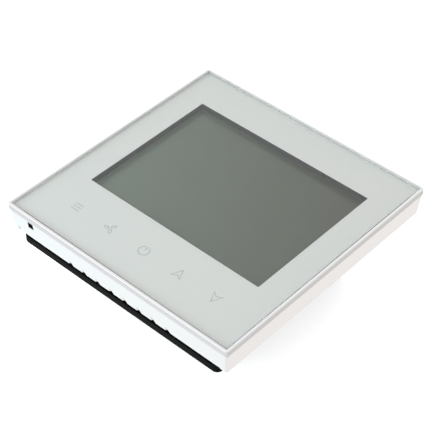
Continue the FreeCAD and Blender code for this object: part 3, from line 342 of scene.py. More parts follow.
def build_corner_dust_and_shade():
    """A mask of inner corners and slots from ambient occlusion, for dust on dark parts and painted shade on
    pale ones.
    """
    group, given, leave = new_group(
        "corner dust and shade",
        [("Reach", "NodeSocketFloat", 1.5 * MM), ("Amount", "NodeSocketFloat", 0.3)],
        [("Mask", "NodeSocketFloat")],
    )
    # ambient occlusion finds where shade falls; on pale parts this mask paints that shade
    open_sky = add(group, "ShaderNodeAmbientOcclusion", {"Distance": given["Reach"]}, samples=4)
    corner = spread(group, open_sky.outputs["AO"], *CORNER_SHADE, 0.0, 1.0)
    patchy = spread(group, noise(group, CORNER_LUMPS, 4.0), *CORNER_PATCHES, 0.0, 1.0)
    mask = combine(group, "MULTIPLY", corner, patchy, given["Amount"])
    group.links.new(mask, leave.inputs["Mask"])
    return group


corner_dust_and_shade = build_corner_dust_and_shade()
print("group", corner_dust_and_shade.name)

# %% [markdown]
# ## Starting and giving out a finish
# A finish starts as an empty material with one Principled shader, which covers plastic,
# metal and glass alike. `finish` sets the numbers that are the same all over the surface
# straight on that shader, and `drive` links what changes over it. `skin_over` is the whole
# of a simple finish. `give` puts the finished material on each piece of its slot.

# %% Start and give out a finish
# grey-brown for corners: dust on dark parts, painted shade on pale ones
DUST_AND_SHADE_COLOUR = (0.42, 0.40, 0.37, 1.0)


def finish(name, **even):
    """A new material and its Principled shader, with the values that don't change over it."""
    material = bpy.data.materials.new(name)
    material.use_nodes = True
    tree = material.node_tree
    tree.nodes.clear()
    shader = add(tree, "ShaderNodeBsdfPrincipled", socket_names(even))
    add(tree, "ShaderNodeOutputMaterial", {"Surface": shader.outputs["BSDF"]})
    return material, tree, shader


def drive(tree, shader, **varying):
    """Links values that change over the surface to the shader's inputs of those names."""
    for label, value in socket_names(varying).items():
        tree.links.new(value, shader.inputs[label])


def raise_surface(tree, shader, height, depth, strength=0.5):
    """Turns a height into a bump of a real depth on the shader's normal."""
    bump = add(tree, "ShaderNodeBump", {"Height": height, "Distance": depth, "Strength": strength})
    drive(tree, shader, Normal=bump.outputs["Normal"])


def skin_over(tree, shader, colour, roughness, grain, drift, depth=None, strength=0.4):
    """The moulded skin as a whole finish: tone, roughness and, where a depth is given, grain."""
    skin = place(tree, moulded_skin, Colour=colour, Base_Roughness=roughness, Grain=grain, Drift=drift)
    drive(tree, shader, Base_Color=skin["Colour"], Roughness=skin["Roughness"])
    if depth:
        raise_surface(tree, shader, skin["Height"], depth, strength)


def show_blend(tree, factor, first, second):
    """Makes the surface a blend of two shaders."""
    blend = add(tree, "ShaderNodeMixShader", {0: factor, 1: first, 2: second})
    ending = next(n for n in tree.nodes if n.type == "OUTPUT_MATERIAL")
    tree.links.new(blend.outputs["Shader"], ending.inputs["Surface"])


def give(material, slot):
    """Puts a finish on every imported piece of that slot."""
    for piece in pieces_of_slot[slot]:
        piece.data.materials.clear()
        piece.data.materials.append(material)
    print(slot, "->", ", ".join(piece.name for piece in pieces_of_slot[slot]))


print("finish helpers ready")

# %% [markdown]
# ## Front glass
# The front is one sheet of float glass with ground edges, clear with a trace of green. Its
# printed back has to be lit as if the glass weren't there, or the print turns grey and
# grainy. So light paths that go to lamps, or that come off a dull surface, meet a plain
# transparent shader, and only the eye and mirror paths meet the real glass.

# %% Front glass
GLASS_TINT = (0.955, 0.975, 0.97, 1.0)
GLASS_LIGHT_TINT = (0.98, 0.99, 0.985, 1.0)
GROUND_BAND = 0.22 * MM
GROUND_BAND_SOFT = 0.9
FROST = 0.6
RIPPLE_LUMPS = 35.0
RIPPLE_DEPTH = 0.004 * MM


def see_through_for_light(tree, shader, clear_tint):
    """Lets lamp light and dull bounces pass glass straight, so that what is behind is lit."""
    path = add(tree, "ShaderNodeLightPath")
    passes = combine(tree, "MAXIMUM", path.outputs["Is Shadow Ray"], path.outputs["Is Diffuse Ray"])
    clear = add(tree, "ShaderNodeBsdfTransparent", {"Color": clear_tint})
    show_blend(tree, passes, shader.outputs["BSDF"], clear.outputs["BSDF"])


def ground_edge(tree):
    """A mask of the narrow ground band all round the sheet, from the distance to its middle."""
    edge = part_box("glass_panel")[1].x
    away = [combine(tree, "ABSOLUTE", along_axis(tree, axis), 0.0) for axis in ("X", "Z")]
    furthest = combine(tree, "MAXIMUM", *away)
    return spread(tree, furthest, edge - GROUND_BAND, edge - GROUND_BAND * GROUND_BAND_SOFT, 0.0, 1.0)


def front_glass():
    """Clear where it is polished, frosted along the ground edge."""
    material, tree, shader = finish("front glass", Transmission_Weight=1.0, IOR=1.52)
    shader.inputs["Base Color"].default_value = GLASS_TINT
    touched = place(tree, smudges, Clean_Roughness=0.0, Amount=0.035)
    frosted = combine(tree, "MULTIPLY", ground_edge(tree), FROST)
    drive(tree, shader, Roughness=combine(tree, "ADD", touched["Roughness"], frosted))
    raise_surface(tree, shader, noise(tree, RIPPLE_LUMPS, 1.0), RIPPLE_DEPTH, strength=0.3)
    see_through_for_light(tree, shader, GLASS_LIGHT_TINT)
    return material


give(front_glass(), "front_glass")

# %% [markdown]
# ## Printed back of the glass
# The front's pale colour is a warm grey ink, screen-printed on the back of the glass, with a
# clear window for the display. The glass and the cool light turn it slightly green. The
# ink could be a coat on the glass itself, but then it would have no thickness in the mesh,
# and its window would be only painted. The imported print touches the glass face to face, and two faces in
# one place flicker when rendered, so the print is built again here as its own thin sheet,
# a hundredth of a millimetre behind the glass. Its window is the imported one's, and its ink
# runs on to the edge of the glass, as it does on the real one.

# %% Mesh helpers
SAME_POINT = 0.0001 * MM


def new_piece(name, body, material, shape):
    """Turns a bmesh into a named piece that rides on a body, with its finish."""
    bmesh.ops.remove_doubles(shape, verts=shape.verts, dist=SAME_POINT)
    bmesh.ops.recalc_face_normals(shape, faces=shape.faces)
    mesh = bpy.data.meshes.new(name)
    shape.to_mesh(mesh)
    shape.free()
    mesh.materials.append(material)
    piece = add_to_scene(name, mesh)
    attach(piece, body)
    print(name, "rides on", body, "faces", len(mesh.polygons))
    return piece


def block(shape, low, high):
    """A closed box between two corners."""
    corners = [shape.verts.new((x, y, z)) for x in (low[0], high[0])
               for y in (low[1], high[1]) for z in (low[2], high[2])]
    for face in ((0, 1, 3, 2), (4, 6, 7, 5), (0, 4, 5, 1), (2, 3, 7, 6), (0, 2, 6, 4), (1, 5, 7, 3)):
        shape.faces.new([corners[i] for i in face])


def ring(shape, outer, inner, front, back):
    """A closed plate with a hole, from two outlines with the same number of points."""
    loops = []
    for outline in (outer, inner):
        loops.append([shape.verts.new((x, front, z)) for x, z in outline])
        loops.append([shape.verts.new((x, back, z)) for x, z in outline])
    outer_front, outer_back, inner_front, inner_back = loops
    for i in range(len(outer)):
        j = (i + 1) % len(outer)
        shape.faces.new((outer_front[i], outer_front[j], inner_front[j], inner_front[i]))
        shape.faces.new((outer_back[i], inner_back[i], inner_back[j], outer_back[j]))
        shape.faces.new((outer_front[i], outer_back[i], outer_back[j], outer_front[j]))
        shape.faces.new((inner_front[i], inner_front[j], inner_back[j], inner_back[i]))


CORNER_STEPS = 6


def rounded_outline(low_x, high_x, low_z, high_z, radius):
    """Points round a rectangle with rounded corners."""
    points = []
    corners = [(high_x - radius, high_z - radius), (low_x + radius, high_z - radius),
               (low_x + radius, low_z + radius), (high_x - radius, low_z + radius)]
    for quarter, (x, z) in enumerate(corners):
        for step in range(CORNER_STEPS + 1):
            angle = math.radians(90) * (quarter + step / CORNER_STEPS)
            points.append((x + radius * math.cos(angle), z + radius * math.sin(angle)))
    return points


print("mesh helpers ready")

# %% Printed back
PRINT_GAP = 0.01 * MM
WINDOW_SIZE = (65.7 * MM, 48.3 * MM)
WINDOW_RISE = 5.05 * MM
WINDOW_CORNER = 0.25 * MM
PRINT_MARGIN = 0.03 * MM
PRINT_CORNER = 0.3 * MM
PRINT_COLOUR = (0.648, 0.618, 0.600, 1.0)
INK_GLOSS = 0.2


def print_finish():
    """Ink seen through glass: even, faintly mottled, without gloss of its own."""
    material, tree, shader = finish("glass print", Specular_IOR_Level=INK_GLOSS)
    skin_over(tree, shader, PRINT_COLOUR, roughness=0.6, grain=2500.0, drift=0.012)
    return material


def printed_back():
    """A thin sheet of ink with the window in it."""
    low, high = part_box("printed_mask")
    glass_low, glass_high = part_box("glass_panel")
    left, right = glass_low.x + PRINT_MARGIN, glass_high.x - PRINT_MARGIN
    bottom, top = glass_low.z + PRINT_MARGIN, glass_high.z - PRINT_MARGIN
    outer = rounded_outline(left, right, bottom, top, PRINT_CORNER)
    half_x, half_z = WINDOW_SIZE[0] / 2, WINDOW_SIZE[1] / 2
    inner = rounded_outline(-half_x, half_x, WINDOW_RISE - half_z, WINDOW_RISE + half_z, WINDOW_CORNER)
    shape = bmesh.new()
    ring(shape, outer, inner, low.y + PRINT_GAP, high.y - PRINT_GAP)
    piece = new_piece("glass_print", "front_unit", ink, shape)
    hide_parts("printed_mask")


ink = print_finish()
give(ink, "mask_print")
printed_back()

# %% [markdown]
# ## Key symbols
# Five touch keys sit in a row under the display: menu, fan, power, up and down. Each symbol
# is a fine grey line in the print, about four millimetres across. A line of ink is
# modelled as a flat ribbon that follows a path, with mitred corners, between the glass and
# the print. Drawing them as a texture would blur the thin lines.

# %% Key symbols
INK_WIDTH = 0.26 * MM
INK_GAP = 0.002 * MM
INK_THICKNESS = 0.006 * MM
KEY_GREY = (0.36, 0.385, 0.39, 1.0)
KEY_PITCH = 13.5 * MM
KEY_SHIFT = -0.2 * MM
KEY_DROP = 29.9 * MM
MITRE_LIMIT = 2.2
MENU_HALF = 1.55 * MM
MENU_RISE = 1.15 * MM
FAN_BLADES = 3
FAN_HUB = 0.45 * MM
FAN_REACH = 1.55 * MM
FAN_START, FAN_SWEEP, FAN_BELLY = -20, 62, 14    # degrees
FAN_STEPS = 14
POWER_RADIUS = 1.7 * MM
POWER_OPENING = 22    # degrees, each side of the top
POWER_STEPS = 32
POWER_BAR = (0.25 * MM, 1.85 * MM)
# the tip, one foot, the notch and the other foot, in mm from the symbol's middle
ARROW = [(0.0, 1.8), (-1.6, -1.55), (0.0, -0.5), (1.6, -1.55)]


def ribbon(shape, path, width, front, back, closed=False):
    """A flat line of one width along a path of (x, z) points, between two depths."""
    points = [Vector(p) for p in path]
    count = len(points)
    sides = []
    for i, point in enumerate(points):
        before = points[i - 1] if i > 0 or closed else None
        after = points[(i + 1) % count] if i < count - 1 or closed else None
        arriving = (point - before).normalized() if before else (after - point).normalized()
        leaving = (after - point).normalized() if after else arriving
        along = (arriving + leaving).normalized()
        across = Vector((-along.y, along.x))
        square = Vector((-arriving.y, arriving.x))
        reach = min(1.0 / max(across.dot(square), 1e-3), MITRE_LIMIT) * width / 2
        sides.append((point + across * reach, point - across * reach))
    loops = [[shape.verts.new((p.x, y, p.y)) for pair in sides for p in pair] for y in (front, back)]
    near, far = loops
    for i in range(count if closed else count - 1):
        a, b = 2 * i, 2 * ((i + 1) % count)
        shape.faces.new((near[a], near[b], near[b + 1], near[a + 1]))
        shape.faces.new((far[a], far[a + 1], far[b + 1], far[b]))
        shape.faces.new((near[a], far[a], far[b], near[b]))
        shape.faces.new((near[a + 1], near[b + 1], far[b + 1], far[a + 1]))
    if not closed:
        last = 2 * (count - 1)
        shape.faces.new((near[0], near[1], far[1], far[0]))
        shape.faces.new((near[last], far[last], far[last + 1], near[last + 1]))


def ink_line(shape, path, closed=False):
    """A fine line of ink in the print."""
    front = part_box("printed_mask")[0].y + INK_GAP
    ribbon(shape, path, INK_WIDTH, front, front + INK_THICKNESS, closed)


def arc(centre_x, centre_z, radius, start, end, steps):
    """Points on a circle between two angles in degrees, counted from straight up."""
    angles = [math.radians(start + (end - start) * i / steps) for i in range(steps + 1)]
    return [(centre_x + radius * math.sin(a), centre_z + radius * math.cos(a)) for a in angles]


def menu_symbol(shape, x, z):
    """Three level bars."""
    for rise in (-MENU_RISE, 0.0, MENU_RISE):
        ink_line(shape, [(x - MENU_HALF, z + rise), (x + MENU_HALF, z + rise)])


def fan_symbol(shape, x, z):
    """Three curved blades round a small hub."""
    for blade in range(FAN_BLADES):
        loop = []
        for step in range(FAN_STEPS):
            share = step / FAN_STEPS
            belly = math.sin(math.pi * share)
            radius = FAN_HUB + FAN_REACH * belly
            turn = 360 / FAN_BLADES * blade + FAN_START
            angle = math.radians(turn + FAN_SWEEP * share + FAN_BELLY * belly)
            loop.append((x + radius * math.sin(angle), z + radius * math.cos(angle)))
        ink_line(shape, loop, closed=True)


def power_symbol(shape, x, z):
    """A ring with a short bar from its middle to the gap at the top."""
    ink_line(shape, arc(x, z, POWER_RADIUS, POWER_OPENING, 360 - POWER_OPENING, POWER_STEPS))
    ink_line(shape, [(x, z + rise) for rise in POWER_BAR])


def arrow_symbol(shape, x, z, up):
    """An open arrowhead with a notched base."""
    ink_line(shape, [(x + a * MM, z + up * b * MM) for a, b in ARROW], closed=True)


def legend_finish():
    """Grey ink of the symbols, with the slight unevenness of a screen print."""
    material, tree, shader = finish("grey key ink", Specular_IOR_Level=INK_GLOSS)
    skin_over(tree, shader, KEY_GREY, roughness=0.6, grain=9000.0, drift=0.12)
    return material


grey_ink = legend_finish()
SYMBOLS = [
    ("key_menu", menu_symbol, {}),
    ("key_fan", fan_symbol, {}),
    ("key_power", power_symbol, {}),
    ("key_up", arrow_symbol, {"up": 1}),
    ("key_down", arrow_symbol, {"up": -1}),
]
for index, (name, draw, options) in enumerate(SYMBOLS):
    shape = bmesh.new()
    draw(shape, KEY_SHIFT + KEY_PITCH * (index - 2), -KEY_DROP, **options)
    new_piece(name, "front_unit", grey_ink, shape)

# %% [markdown]
# ## Silver rim
# The rim is moulded plastic with a bright vacuum-plated skin. It mirrors softly, is a
# little cooler than its surroundings, and its outer edges are lighter, partly from rubbing
# and partly from a painted highlight. A plain mirror would look like polished steel, so the
# roughness varies with smears and the reflection is slightly spread.

# %% Silver rim
SILVER = (0.88, 0.88, 0.89, 1.0)
# edge colour: rubbed plating and a painted highlight
SILVER_RUBBED_AND_HIGHLIT = (0.96, 0.96, 0.96, 1.0)


def silver_rim():
    """A shining plated skin with soft smears, and edges lightened by rubbing and a painted highlight."""
    material, tree, shader = finish("silver rim", Metallic=1.0)
    touched = place(tree, smudges, Clean_Roughness=0.2, Amount=0.12)
    edges = place(tree, edge_wear_and_highlight, Width=0.15 * MM, Strength=0.8)
    # painted highlight and wear: the edges turn a lighter silver
    colour = tint(tree, edges["Mask"], SILVER, SILVER_RUBBED_AND_HIGHLIT)
    drive(tree, shader, Base_Color=colour, Roughness=touched["Roughness"])
    raise_surface(tree, shader, noise(tree, 5000.0, 2.0), depth=0.002 * MM, strength=0.3)
    return material


give(silver_rim(), "silver_bezel")

# %% [markdown]
# ## White housing
# The cover is satin white plastic with a very fine grain. Pure white would burn out in the
# light and lose the small step and the air scoops, so the colour stays under full white.
# Edges are a touch smoother and lighter, partly from rubbing and partly a painted highlight,
# and the scoops and inner corners are darkened by painted shade.

# %% White housing
HOUSING_WHITE = (0.87, 0.852, 0.850, 1.0)
# edge colour: rubbing and a painted highlight
HOUSING_RUBBED_AND_HIGHLIT = (0.91, 0.91, 0.915, 1.0)


def white_housing():
    """Satin white plastic with fine grain, smoother and lighter edges from wear and a painted highlight, and
    painted shade in the scoops and corners.
    """
    material, tree, shader = finish("white housing")
    skin = place(tree, moulded_skin, Colour=HOUSING_WHITE, Base_Roughness=0.42, Grain=7000.0, Drift=0.025)
    edges = place(tree, edge_wear_and_highlight, Width=0.2 * MM, Strength=0.6)
    # painted shade: the corner mask darkens the scoops and inner corners towards grey-brown
    corner_mask = place(tree, corner_dust_and_shade, Reach=1.0 * MM, Amount=1.5)
    # painted highlight and wear: the edges are lightened
    worn_and_highlit = tint(tree, edges["Mask"], skin["Colour"], HOUSING_RUBBED_AND_HIGHLIT)
    corner_toned = tint(tree, corner_mask["Mask"], worn_and_highlit, DUST_AND_SHADE_COLOUR)
    polish = combine(tree, "MULTIPLY", edges["Mask"], 0.12)
    drive(tree, shader, Base_Color=corner_toned, Roughness=combine(tree, "SUBTRACT", skin["Roughness"], polish))
    raise_surface(tree, shader, skin["Height"], depth=0.01 * MM, strength=0.25)
    return material


give(white_housing(), "white_housing")

# %% [markdown]
# ## Display
# The display is a sandwich: a polarising film, two sheets of glass with the liquid crystal
# between, a second film, a clear light guide with dots on its back, and a white sheet. When it
# is off, the front film is an even grey-green. Here its colour also carries a painted fall of
# light: lighter and cooler at one side, darker and warmer at the other. Rendering the whole
# sandwich as glass would cost a lot and show the same, so the front film is a dull coloured
# sheet under a clear gloss, and the layers behind have finishes of their own for when the
# front is off.

# %% Display films
CORNER_TO_CORNER = (0.73, 0.0, 0.68)
FILM_ENDS = (-35.0 * MM, 38.0 * MM)
# painted light and shade: the film runs from a lighter, cooler side to a darker, warmer side
FILM_PAINTED_LIGHT = (0.093, 0.121, 0.088, 1.0)
FILM_PAINTED_SHADE = (0.034, 0.037, 0.014, 1.0)
SHEET_GREEN = (0.72, 0.80, 0.72, 1.0)
ACRYLIC_DOT = (0.98, 0.98, 0.97, 1.0)
ACRYLIC_CLEAR = (0.90, 0.94, 0.94, 1.0)


def polariser():
    """Grey-green film under a clear skin, with painted light and shade: lighter and cooler at the lower left,
    darker and warmer at the upper right.
    """
    material, tree, shader = finish("polariser", Coat_Weight=0.25, Coat_Roughness=0.15, Coat_IOR=1.45)
    both = {0: own_place(tree), 1: CORNER_TO_CORNER}
    across = add(tree, "ShaderNodeVectorMath", both, operation="DOT_PRODUCT").outputs["Value"]
    # painted fall of light across the film, lighter on one side and darker on the other
    painted_light_fall = tint(tree, spread(tree, across, *FILM_ENDS, 0.0, 1.0), FILM_PAINTED_LIGHT, FILM_PAINTED_SHADE)
    skin_over(tree, shader, painted_light_fall, roughness=0.35, grain=3000.0, drift=0.02)
    return material


def display_glass():
    """Thin greenish sheet glass with ground edges."""
    material, tree, shader = finish("display glass", Transmission_Weight=1.0, IOR=1.52)
    shader.inputs["Base Color"].default_value = SHEET_GREEN
    drive(tree, shader, Roughness=place(tree, smudges, Clean_Roughness=0.02, Amount=0.06)["Roughness"])
    return material


def light_guide():
    """Clear acrylic with a lattice of fine dots that lead the lamp light out."""
    material, tree, shader = finish("light guide", Transmission_Weight=0.9, IOR=1.49)
    lattice = {"Vector": own_place(tree), "Scale": 900.0, "Randomness": 0.0}
    dots = add(tree, "ShaderNodeTexVoronoi", lattice).outputs["Distance"]
    between = spread(tree, dots, 0.25, 0.3, 0.0, 1.0)
    colour = tint(tree, between, ACRYLIC_DOT, ACRYLIC_CLEAR)
    drive(tree, shader, Base_Color=colour, Roughness=spread(tree, between, 0.0, 1.0, 0.5, 0.05))
    return material


give(polariser(), "polariser")
give(display_glass(), "display_glass")
give(light_guide(), "acrylic")

# %% [markdown]
# ## Plain mouldings
# Most hidden pieces are moulded plastic in one colour: the black base and box lid, the white
# display holder, the plug and socket, the terminal block, the relay cases and the chip bodies.
# They differ in colour, gloss, grain, how much their edges are lightened by rubbing and a
# painted highlight, and how their corners are toned: dust on dark parts, painted shade on pale
# ones. So one recipe with a row of values per finish says everything.

# %% Plain mouldings
# slot: colour, edge colour (rubbed and painted highlight), specular level, roughness, grain
# per metre, grain depth in mm, corner tone (dust on dark parts, painted shade on pale ones)
MOULDINGS = {
    "black_base": ((0.003, 0.003, 0.003), (0.009, 0.009, 0.009), 0.06, 0.50, 5000.0, 0.020, 0.015),
    "white_holder": ((0.80, 0.80, 0.78), (0.88, 0.88, 0.87), 0.5, 0.50, 6000.0, 0.010, 0.10),
    "white_sheet": ((0.86, 0.86, 0.86), (0.92, 0.92, 0.92), 0.5, 0.30, 3000.0, 0.003, 0.05),
    "lamp_white": ((0.86, 0.84, 0.70), (0.92, 0.91, 0.85), 0.5, 0.25, 9000.0, 0.004, 0.05),
    "black_moulding": ((0.025, 0.025, 0.027), (0.09, 0.09, 0.09), 0.4, 0.38, 8000.0, 0.008, 0.14),
    "terminal_grey": ((0.125, 0.130, 0.137), (0.24, 0.245, 0.25), 0.5, 0.44, 6000.0, 0.012, 0.22),
    "relay_blue": ((0.018, 0.085, 0.30), (0.07, 0.19, 0.46), 0.5, 0.30, 4000.0, 0.006, 0.16),
    "chip_black": ((0.020, 0.020, 0.022), (0.07, 0.07, 0.072), 0.4, 0.55, 9000.0, 0.010, 0.14),
    "ferrite": ((0.050, 0.050, 0.055), (0.16, 0.16, 0.165), 0.5, 0.62, 3500.0, 0.025, 0.20),
    "black_foam": ((0.022, 0.024, 0.022), (0.04, 0.044, 0.04), 0.2, 0.92, 4500.0, 0.060, 0.10),
    "conductive_rubber": ((0.030, 0.030, 0.032), (0.06, 0.06, 0.06), 0.3, 0.80, 6000.0, 0.030, 0.18),
}
EDGE_WIDTH = 0.15 * MM
CORNER_REACH = 1.5 * MM


def moulding(slot, colour, rubbed_and_highlit, specular, roughness, grain, depth, corner_amount):
    """Moulded plastic or rubber with grain, edges lightened by rubbing and a painted highlight, and corners
    toned: dust on dark parts, painted shade on pale ones.
    """
    material, tree, shader = finish(slot.replace("_", " "), Specular_IOR_Level=specular)
    skin = place(tree, moulded_skin, Colour=(*colour, 1.0), Base_Roughness=roughness, Grain=grain, Drift=0.10)
    edges = place(tree, edge_wear_and_highlight, Width=EDGE_WIDTH, Strength=0.7)
    corner_mask = place(tree, corner_dust_and_shade, Reach=CORNER_REACH, Amount=corner_amount)
    # painted highlight and wear: the edges are lightened towards the edge colour
    worn_and_highlit = tint(tree, edges["Mask"], skin["Colour"], (*rubbed_and_highlit, 1.0))
    # corner tone: painted shade on pale mouldings, dust on dark ones
    corner_toned = tint(tree, corner_mask["Mask"], worn_and_highlit, DUST_AND_SHADE_COLOUR)
    duller = combine(tree, "MULTIPLY", corner_mask["Mask"], 0.4)
    drive(tree, shader, Base_Color=corner_toned, Roughness=combine(tree, "ADD", skin["Roughness"], duller))
    raise_surface(tree, shader, skin["Height"], depth * MM, 0.5)
    return material


mouldings = {}
for slot, values in MOULDINGS.items():
    mouldings[slot] = moulding(slot, *values)
    give(mouldings[slot], slot)

# %% [markdown]
# ## Metals
# The screws and washers are zinc-plated steel, the terminal strip is brass, the pins are
# gold-plated, and the button cell and crystal can are nickel. Each one keeps the fine
# lines of how it was drawn, rolled or turned, so the recipe stretches noise along one way.
# Handling dulls the flats; the edges are lightened, partly by rubbing and partly by a painted highlight.

# %% Metals
STAIN = 0.86
ALONG_X = (400.0, 9000.0, 9000.0)
ALONG_Y = (9000.0, 400.0, 9000.0)
ALONG_Z = (9000.0, 9000.0, 400.0)
# slot: colour, edge colour (rubbed and painted highlight), roughness, way of the lines
METALS = {
    "steel_screw": ((0.56, 0.57, 0.58), (0.78, 0.78, 0.78), 0.32, ALONG_X),
    "clamp_steel": ((0.58, 0.58, 0.56), (0.80, 0.80, 0.78), 0.34, ALONG_X),
    "terminal_steel": ((0.60, 0.60, 0.59), (0.82, 0.82, 0.80), 0.28, ALONG_Z),
    "contact_brass": ((0.66, 0.46, 0.17), (0.84, 0.66, 0.33), 0.30, ALONG_X),
    "gold_pins": ((0.78, 0.58, 0.22), (0.92, 0.76, 0.42), 0.22, ALONG_Y),
    "cell_steel": ((0.63, 0.63, 0.62), (0.80, 0.80, 0.79), 0.26, ALONG_X),
    "tinned_wire": ((0.64, 0.64, 0.65), (0.80, 0.80, 0.80), 0.30, ALONG_Z),
}


def metal(slot, colour, highlit_edge, roughness, way):
    """Plated or rolled metal with fine lines, smears, and edges lightened by rubbing and a painted highlight.
    """
    material, tree, shader = finish(slot.replace("_", " "), Metallic=1.0)
    lines = place(tree, drawn_lines, Stretch=way, Base_Roughness=roughness, Amount=0.22)
    edges = place(tree, edge_wear_and_highlight, Width=EDGE_WIDTH, Strength=0.9)
    touched = place(tree, smudges, Clean_Roughness=0.0, Amount=0.12)
    stained = tint(tree, touched["Mask"], (*colour, 1.0), (*[c * STAIN for c in colour], 1.0))
    rough = combine(tree, "ADD", lines["Roughness"], touched["Roughness"])
    # painted highlight and wear: the edges are lightened towards the edge colour
    drive(tree, shader, Base_Color=tint(tree, edges["Mask"], stained, (*highlit_edge, 1.0)), Roughness=rough)
    raise_surface(tree, shader, lines["Height"], depth=0.004 * MM, strength=0.4)
    return material


metals = {}
for slot, values in METALS.items():
    metals[slot] = metal(slot, *values)
    give(metals[slot], slot)

# %% [markdown]
# ## Circuit boards
# A board is glass cloth in resin under green lacquer. The lacquer is glossy, and the cloth's
# weave shows through as a faint cross of light and dark. The copper under the lacquer reads
# as a lighter green. Here the weave is two crossed waves, and broad copper areas are soft
# blocks of a squared-off cell pattern. The single tracks are modelled later as real ribbons.

# %% Circuit boards
LACQUER = (0.016, 0.125, 0.050, 1.0)
LACQUER_OVER_GAP = (0.010, 0.085, 0.034, 1.0)
WOVEN_LIGHT = (0.05, 0.19, 0.09, 1.0)
LACQUER_COAT = {"Coat_Weight": 0.6, "Coat_Roughness": 0.12}


def green_board():
    """Green lacquer over crossed threads and broad areas of copper."""
    material, tree, shader = finish("green board", **LACQUER_COAT)
    where = own_place(tree)
    threads = []
    for way in ("X", "Z"):
        wave = {"Vector": where, "Scale": 320.0, "Distortion": 0.4}
        threads.append(add(tree, "ShaderNodeTexWave", wave, bands_direction=way).outputs["Fac"])
    weave = combine(tree, "MULTIPLY", *threads)
    cells = {"Vector": where, "Scale": 160.0, "Randomness": 0.9}
    poured = add(tree, "ShaderNodeTexVoronoi", cells, distance="CHEBYCHEV").outputs["Distance"]
    gap = spread(tree, poured, 0.30, 0.33, 0.0, 1.0)
    lacquer = tint(tree, gap, LACQUER, LACQUER_OVER_GAP)
    woven = tint(tree, spread(tree, weave, 0.0, 1.0, 0.0, 0.35), lacquer, WOVEN_LIGHT)
    corner_mask = place(tree, corner_dust_and_shade, Reach=CORNER_REACH, Amount=0.2)
    corner_toned = tint(tree, corner_mask["Mask"], woven, DUST_AND_SHADE_COLOUR)
    drive(tree, shader, Base_Color=corner_toned, Roughness=spread(tree, weave, 0.0, 1.0, 0.32, 0.42))
    raise_surface(tree, shader, combine(tree, "SUBTRACT", weave, gap), depth=0.02 * MM, strength=0.5)
    return material


give(green_board(), "green_board")

# %% [markdown]
# ## Wrapped, dipped and banded parts
# A few parts have a skin of their own. Capacitors wear a dark shrink sleeve with a pale stripe
# down the negative side and a bare aluminium top. The transformer's winding is wrapped in
# yellow tape whose layers show as fine lines. The surge absorber is dipped in blue, with
# the slow ripples of a dip. The display's contact strip is silicone with black layers.
# Stripes and bare ends could be separate pieces, but the place on the piece is enough to
# tell one skin from the other.

# %% Wrapped and dipped parts
SLEEVE_DARK = (0.012, 0.018, 0.05, 1.0)
SLEEVE_STRIPE = (0.45, 0.48, 0.52, 1.0)
STRIPE_HEIGHT = 0.5 * MM
BARE_ALUMINIUM = (0.72, 0.72, 0.72, 1.0)
BARE_DEPTH = 0.2 * MM
TAPE = (0.62, 0.42, 0.03, 1.0)
TAPE_LIGHT = (0.76, 0.55, 0.06, 1.0)
DIP_BLUE = (0.02, 0.10, 0.36, 1.0)
SILICONE_GREY = (0.28, 0.28, 0.29, 1.0)
SILICONE_BLACK = (0.03, 0.03, 0.03, 1.0)


def capacitor_sleeve():
    """Dark sleeve with a pale stripe on the lower side, and metal at the top disc."""
    material, tree, shader = finish("capacitor sleeve")
    low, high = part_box("capacitors")
    bare = high.y - BARE_DEPTH
    disc = spread(tree, along_axis(tree, "Y"), bare - 0.05 * MM, bare, 0.0, 1.0)
    edge = low.z + STRIPE_HEIGHT
    stripe = spread(tree, along_axis(tree, "Z"), edge, edge + 0.1 * MM, 1.0, 0.0)
    sleeve = tint(tree, stripe, SLEEVE_DARK, SLEEVE_STRIPE)
    skin = place(tree, moulded_skin, Colour=sleeve, Base_Roughness=0.22, Grain=900.0, Drift=0.08)
    colour = tint(tree, disc, skin["Colour"], BARE_ALUMINIUM)
    drive(tree, shader, Base_Color=colour, Metallic=disc, Roughness=skin["Roughness"])
    raise_surface(tree, shader, skin["Height"], depth=0.03 * MM, strength=0.4)
    return material


def winding_tape():
    """Glossy yellow tape wound in layers."""
    material, tree, shader = finish("yellow tape")
    layers = {"Vector": own_place(tree), "Scale": 260.0, "Distortion": 0.6}
    lines = add(tree, "ShaderNodeTexWave", layers, bands_direction="Z").outputs["Fac"]
    skin_over(tree, shader, tint(tree, lines, TAPE, TAPE_LIGHT),
              roughness=0.24, grain=1200.0, drift=0.06)
    raise_surface(tree, shader, lines, depth=0.03 * MM, strength=0.5)
    return material


def dipped_blue():
    """Blue epoxy dip with slow ripples."""
    material, tree, shader = finish("blue dip", Coat_Weight=0.4, Coat_Roughness=0.1)
    skin_over(tree, shader, DIP_BLUE,
              roughness=0.28, grain=500.0, drift=0.15, depth=0.15 * MM, strength=0.5)
    return material


def contact_silicone():
    """Grey silicone crossed by fine black conducting layers."""
    material, tree, shader = finish("contact strip")
    layers = {"Vector": own_place(tree), "Scale": 900.0, "Distortion": 0.1}
    bands = add(tree, "ShaderNodeTexWave", layers, bands_direction="X").outputs["Fac"]
    colour = tint(tree, spread(tree, bands, 0.4, 0.6, 0.0, 1.0), SILICONE_GREY, SILICONE_BLACK)
    skin_over(tree, shader, colour, roughness=0.6, grain=5000.0, drift=0.08, depth=0.02 * MM)
    return material


give(capacitor_sleeve(), "capacitor_sleeve")
give(winding_tape(), "yellow_tape")
give(dipped_blue(), "absorber_blue")
give(contact_silicone(), "silicone")

# %% [markdown]
# ## Fuse and air sensor
# The fuse is a glass tube between two metal caps, seen from outside as a pale tube with
# bright ends. The air sensor is a tiny bead of brown glass on two wires, which shows in the
# hole of the lower wall. Both are small, so one finish each is enough: the fuse's is metal
# where the distance from its middle says that a cap begins.

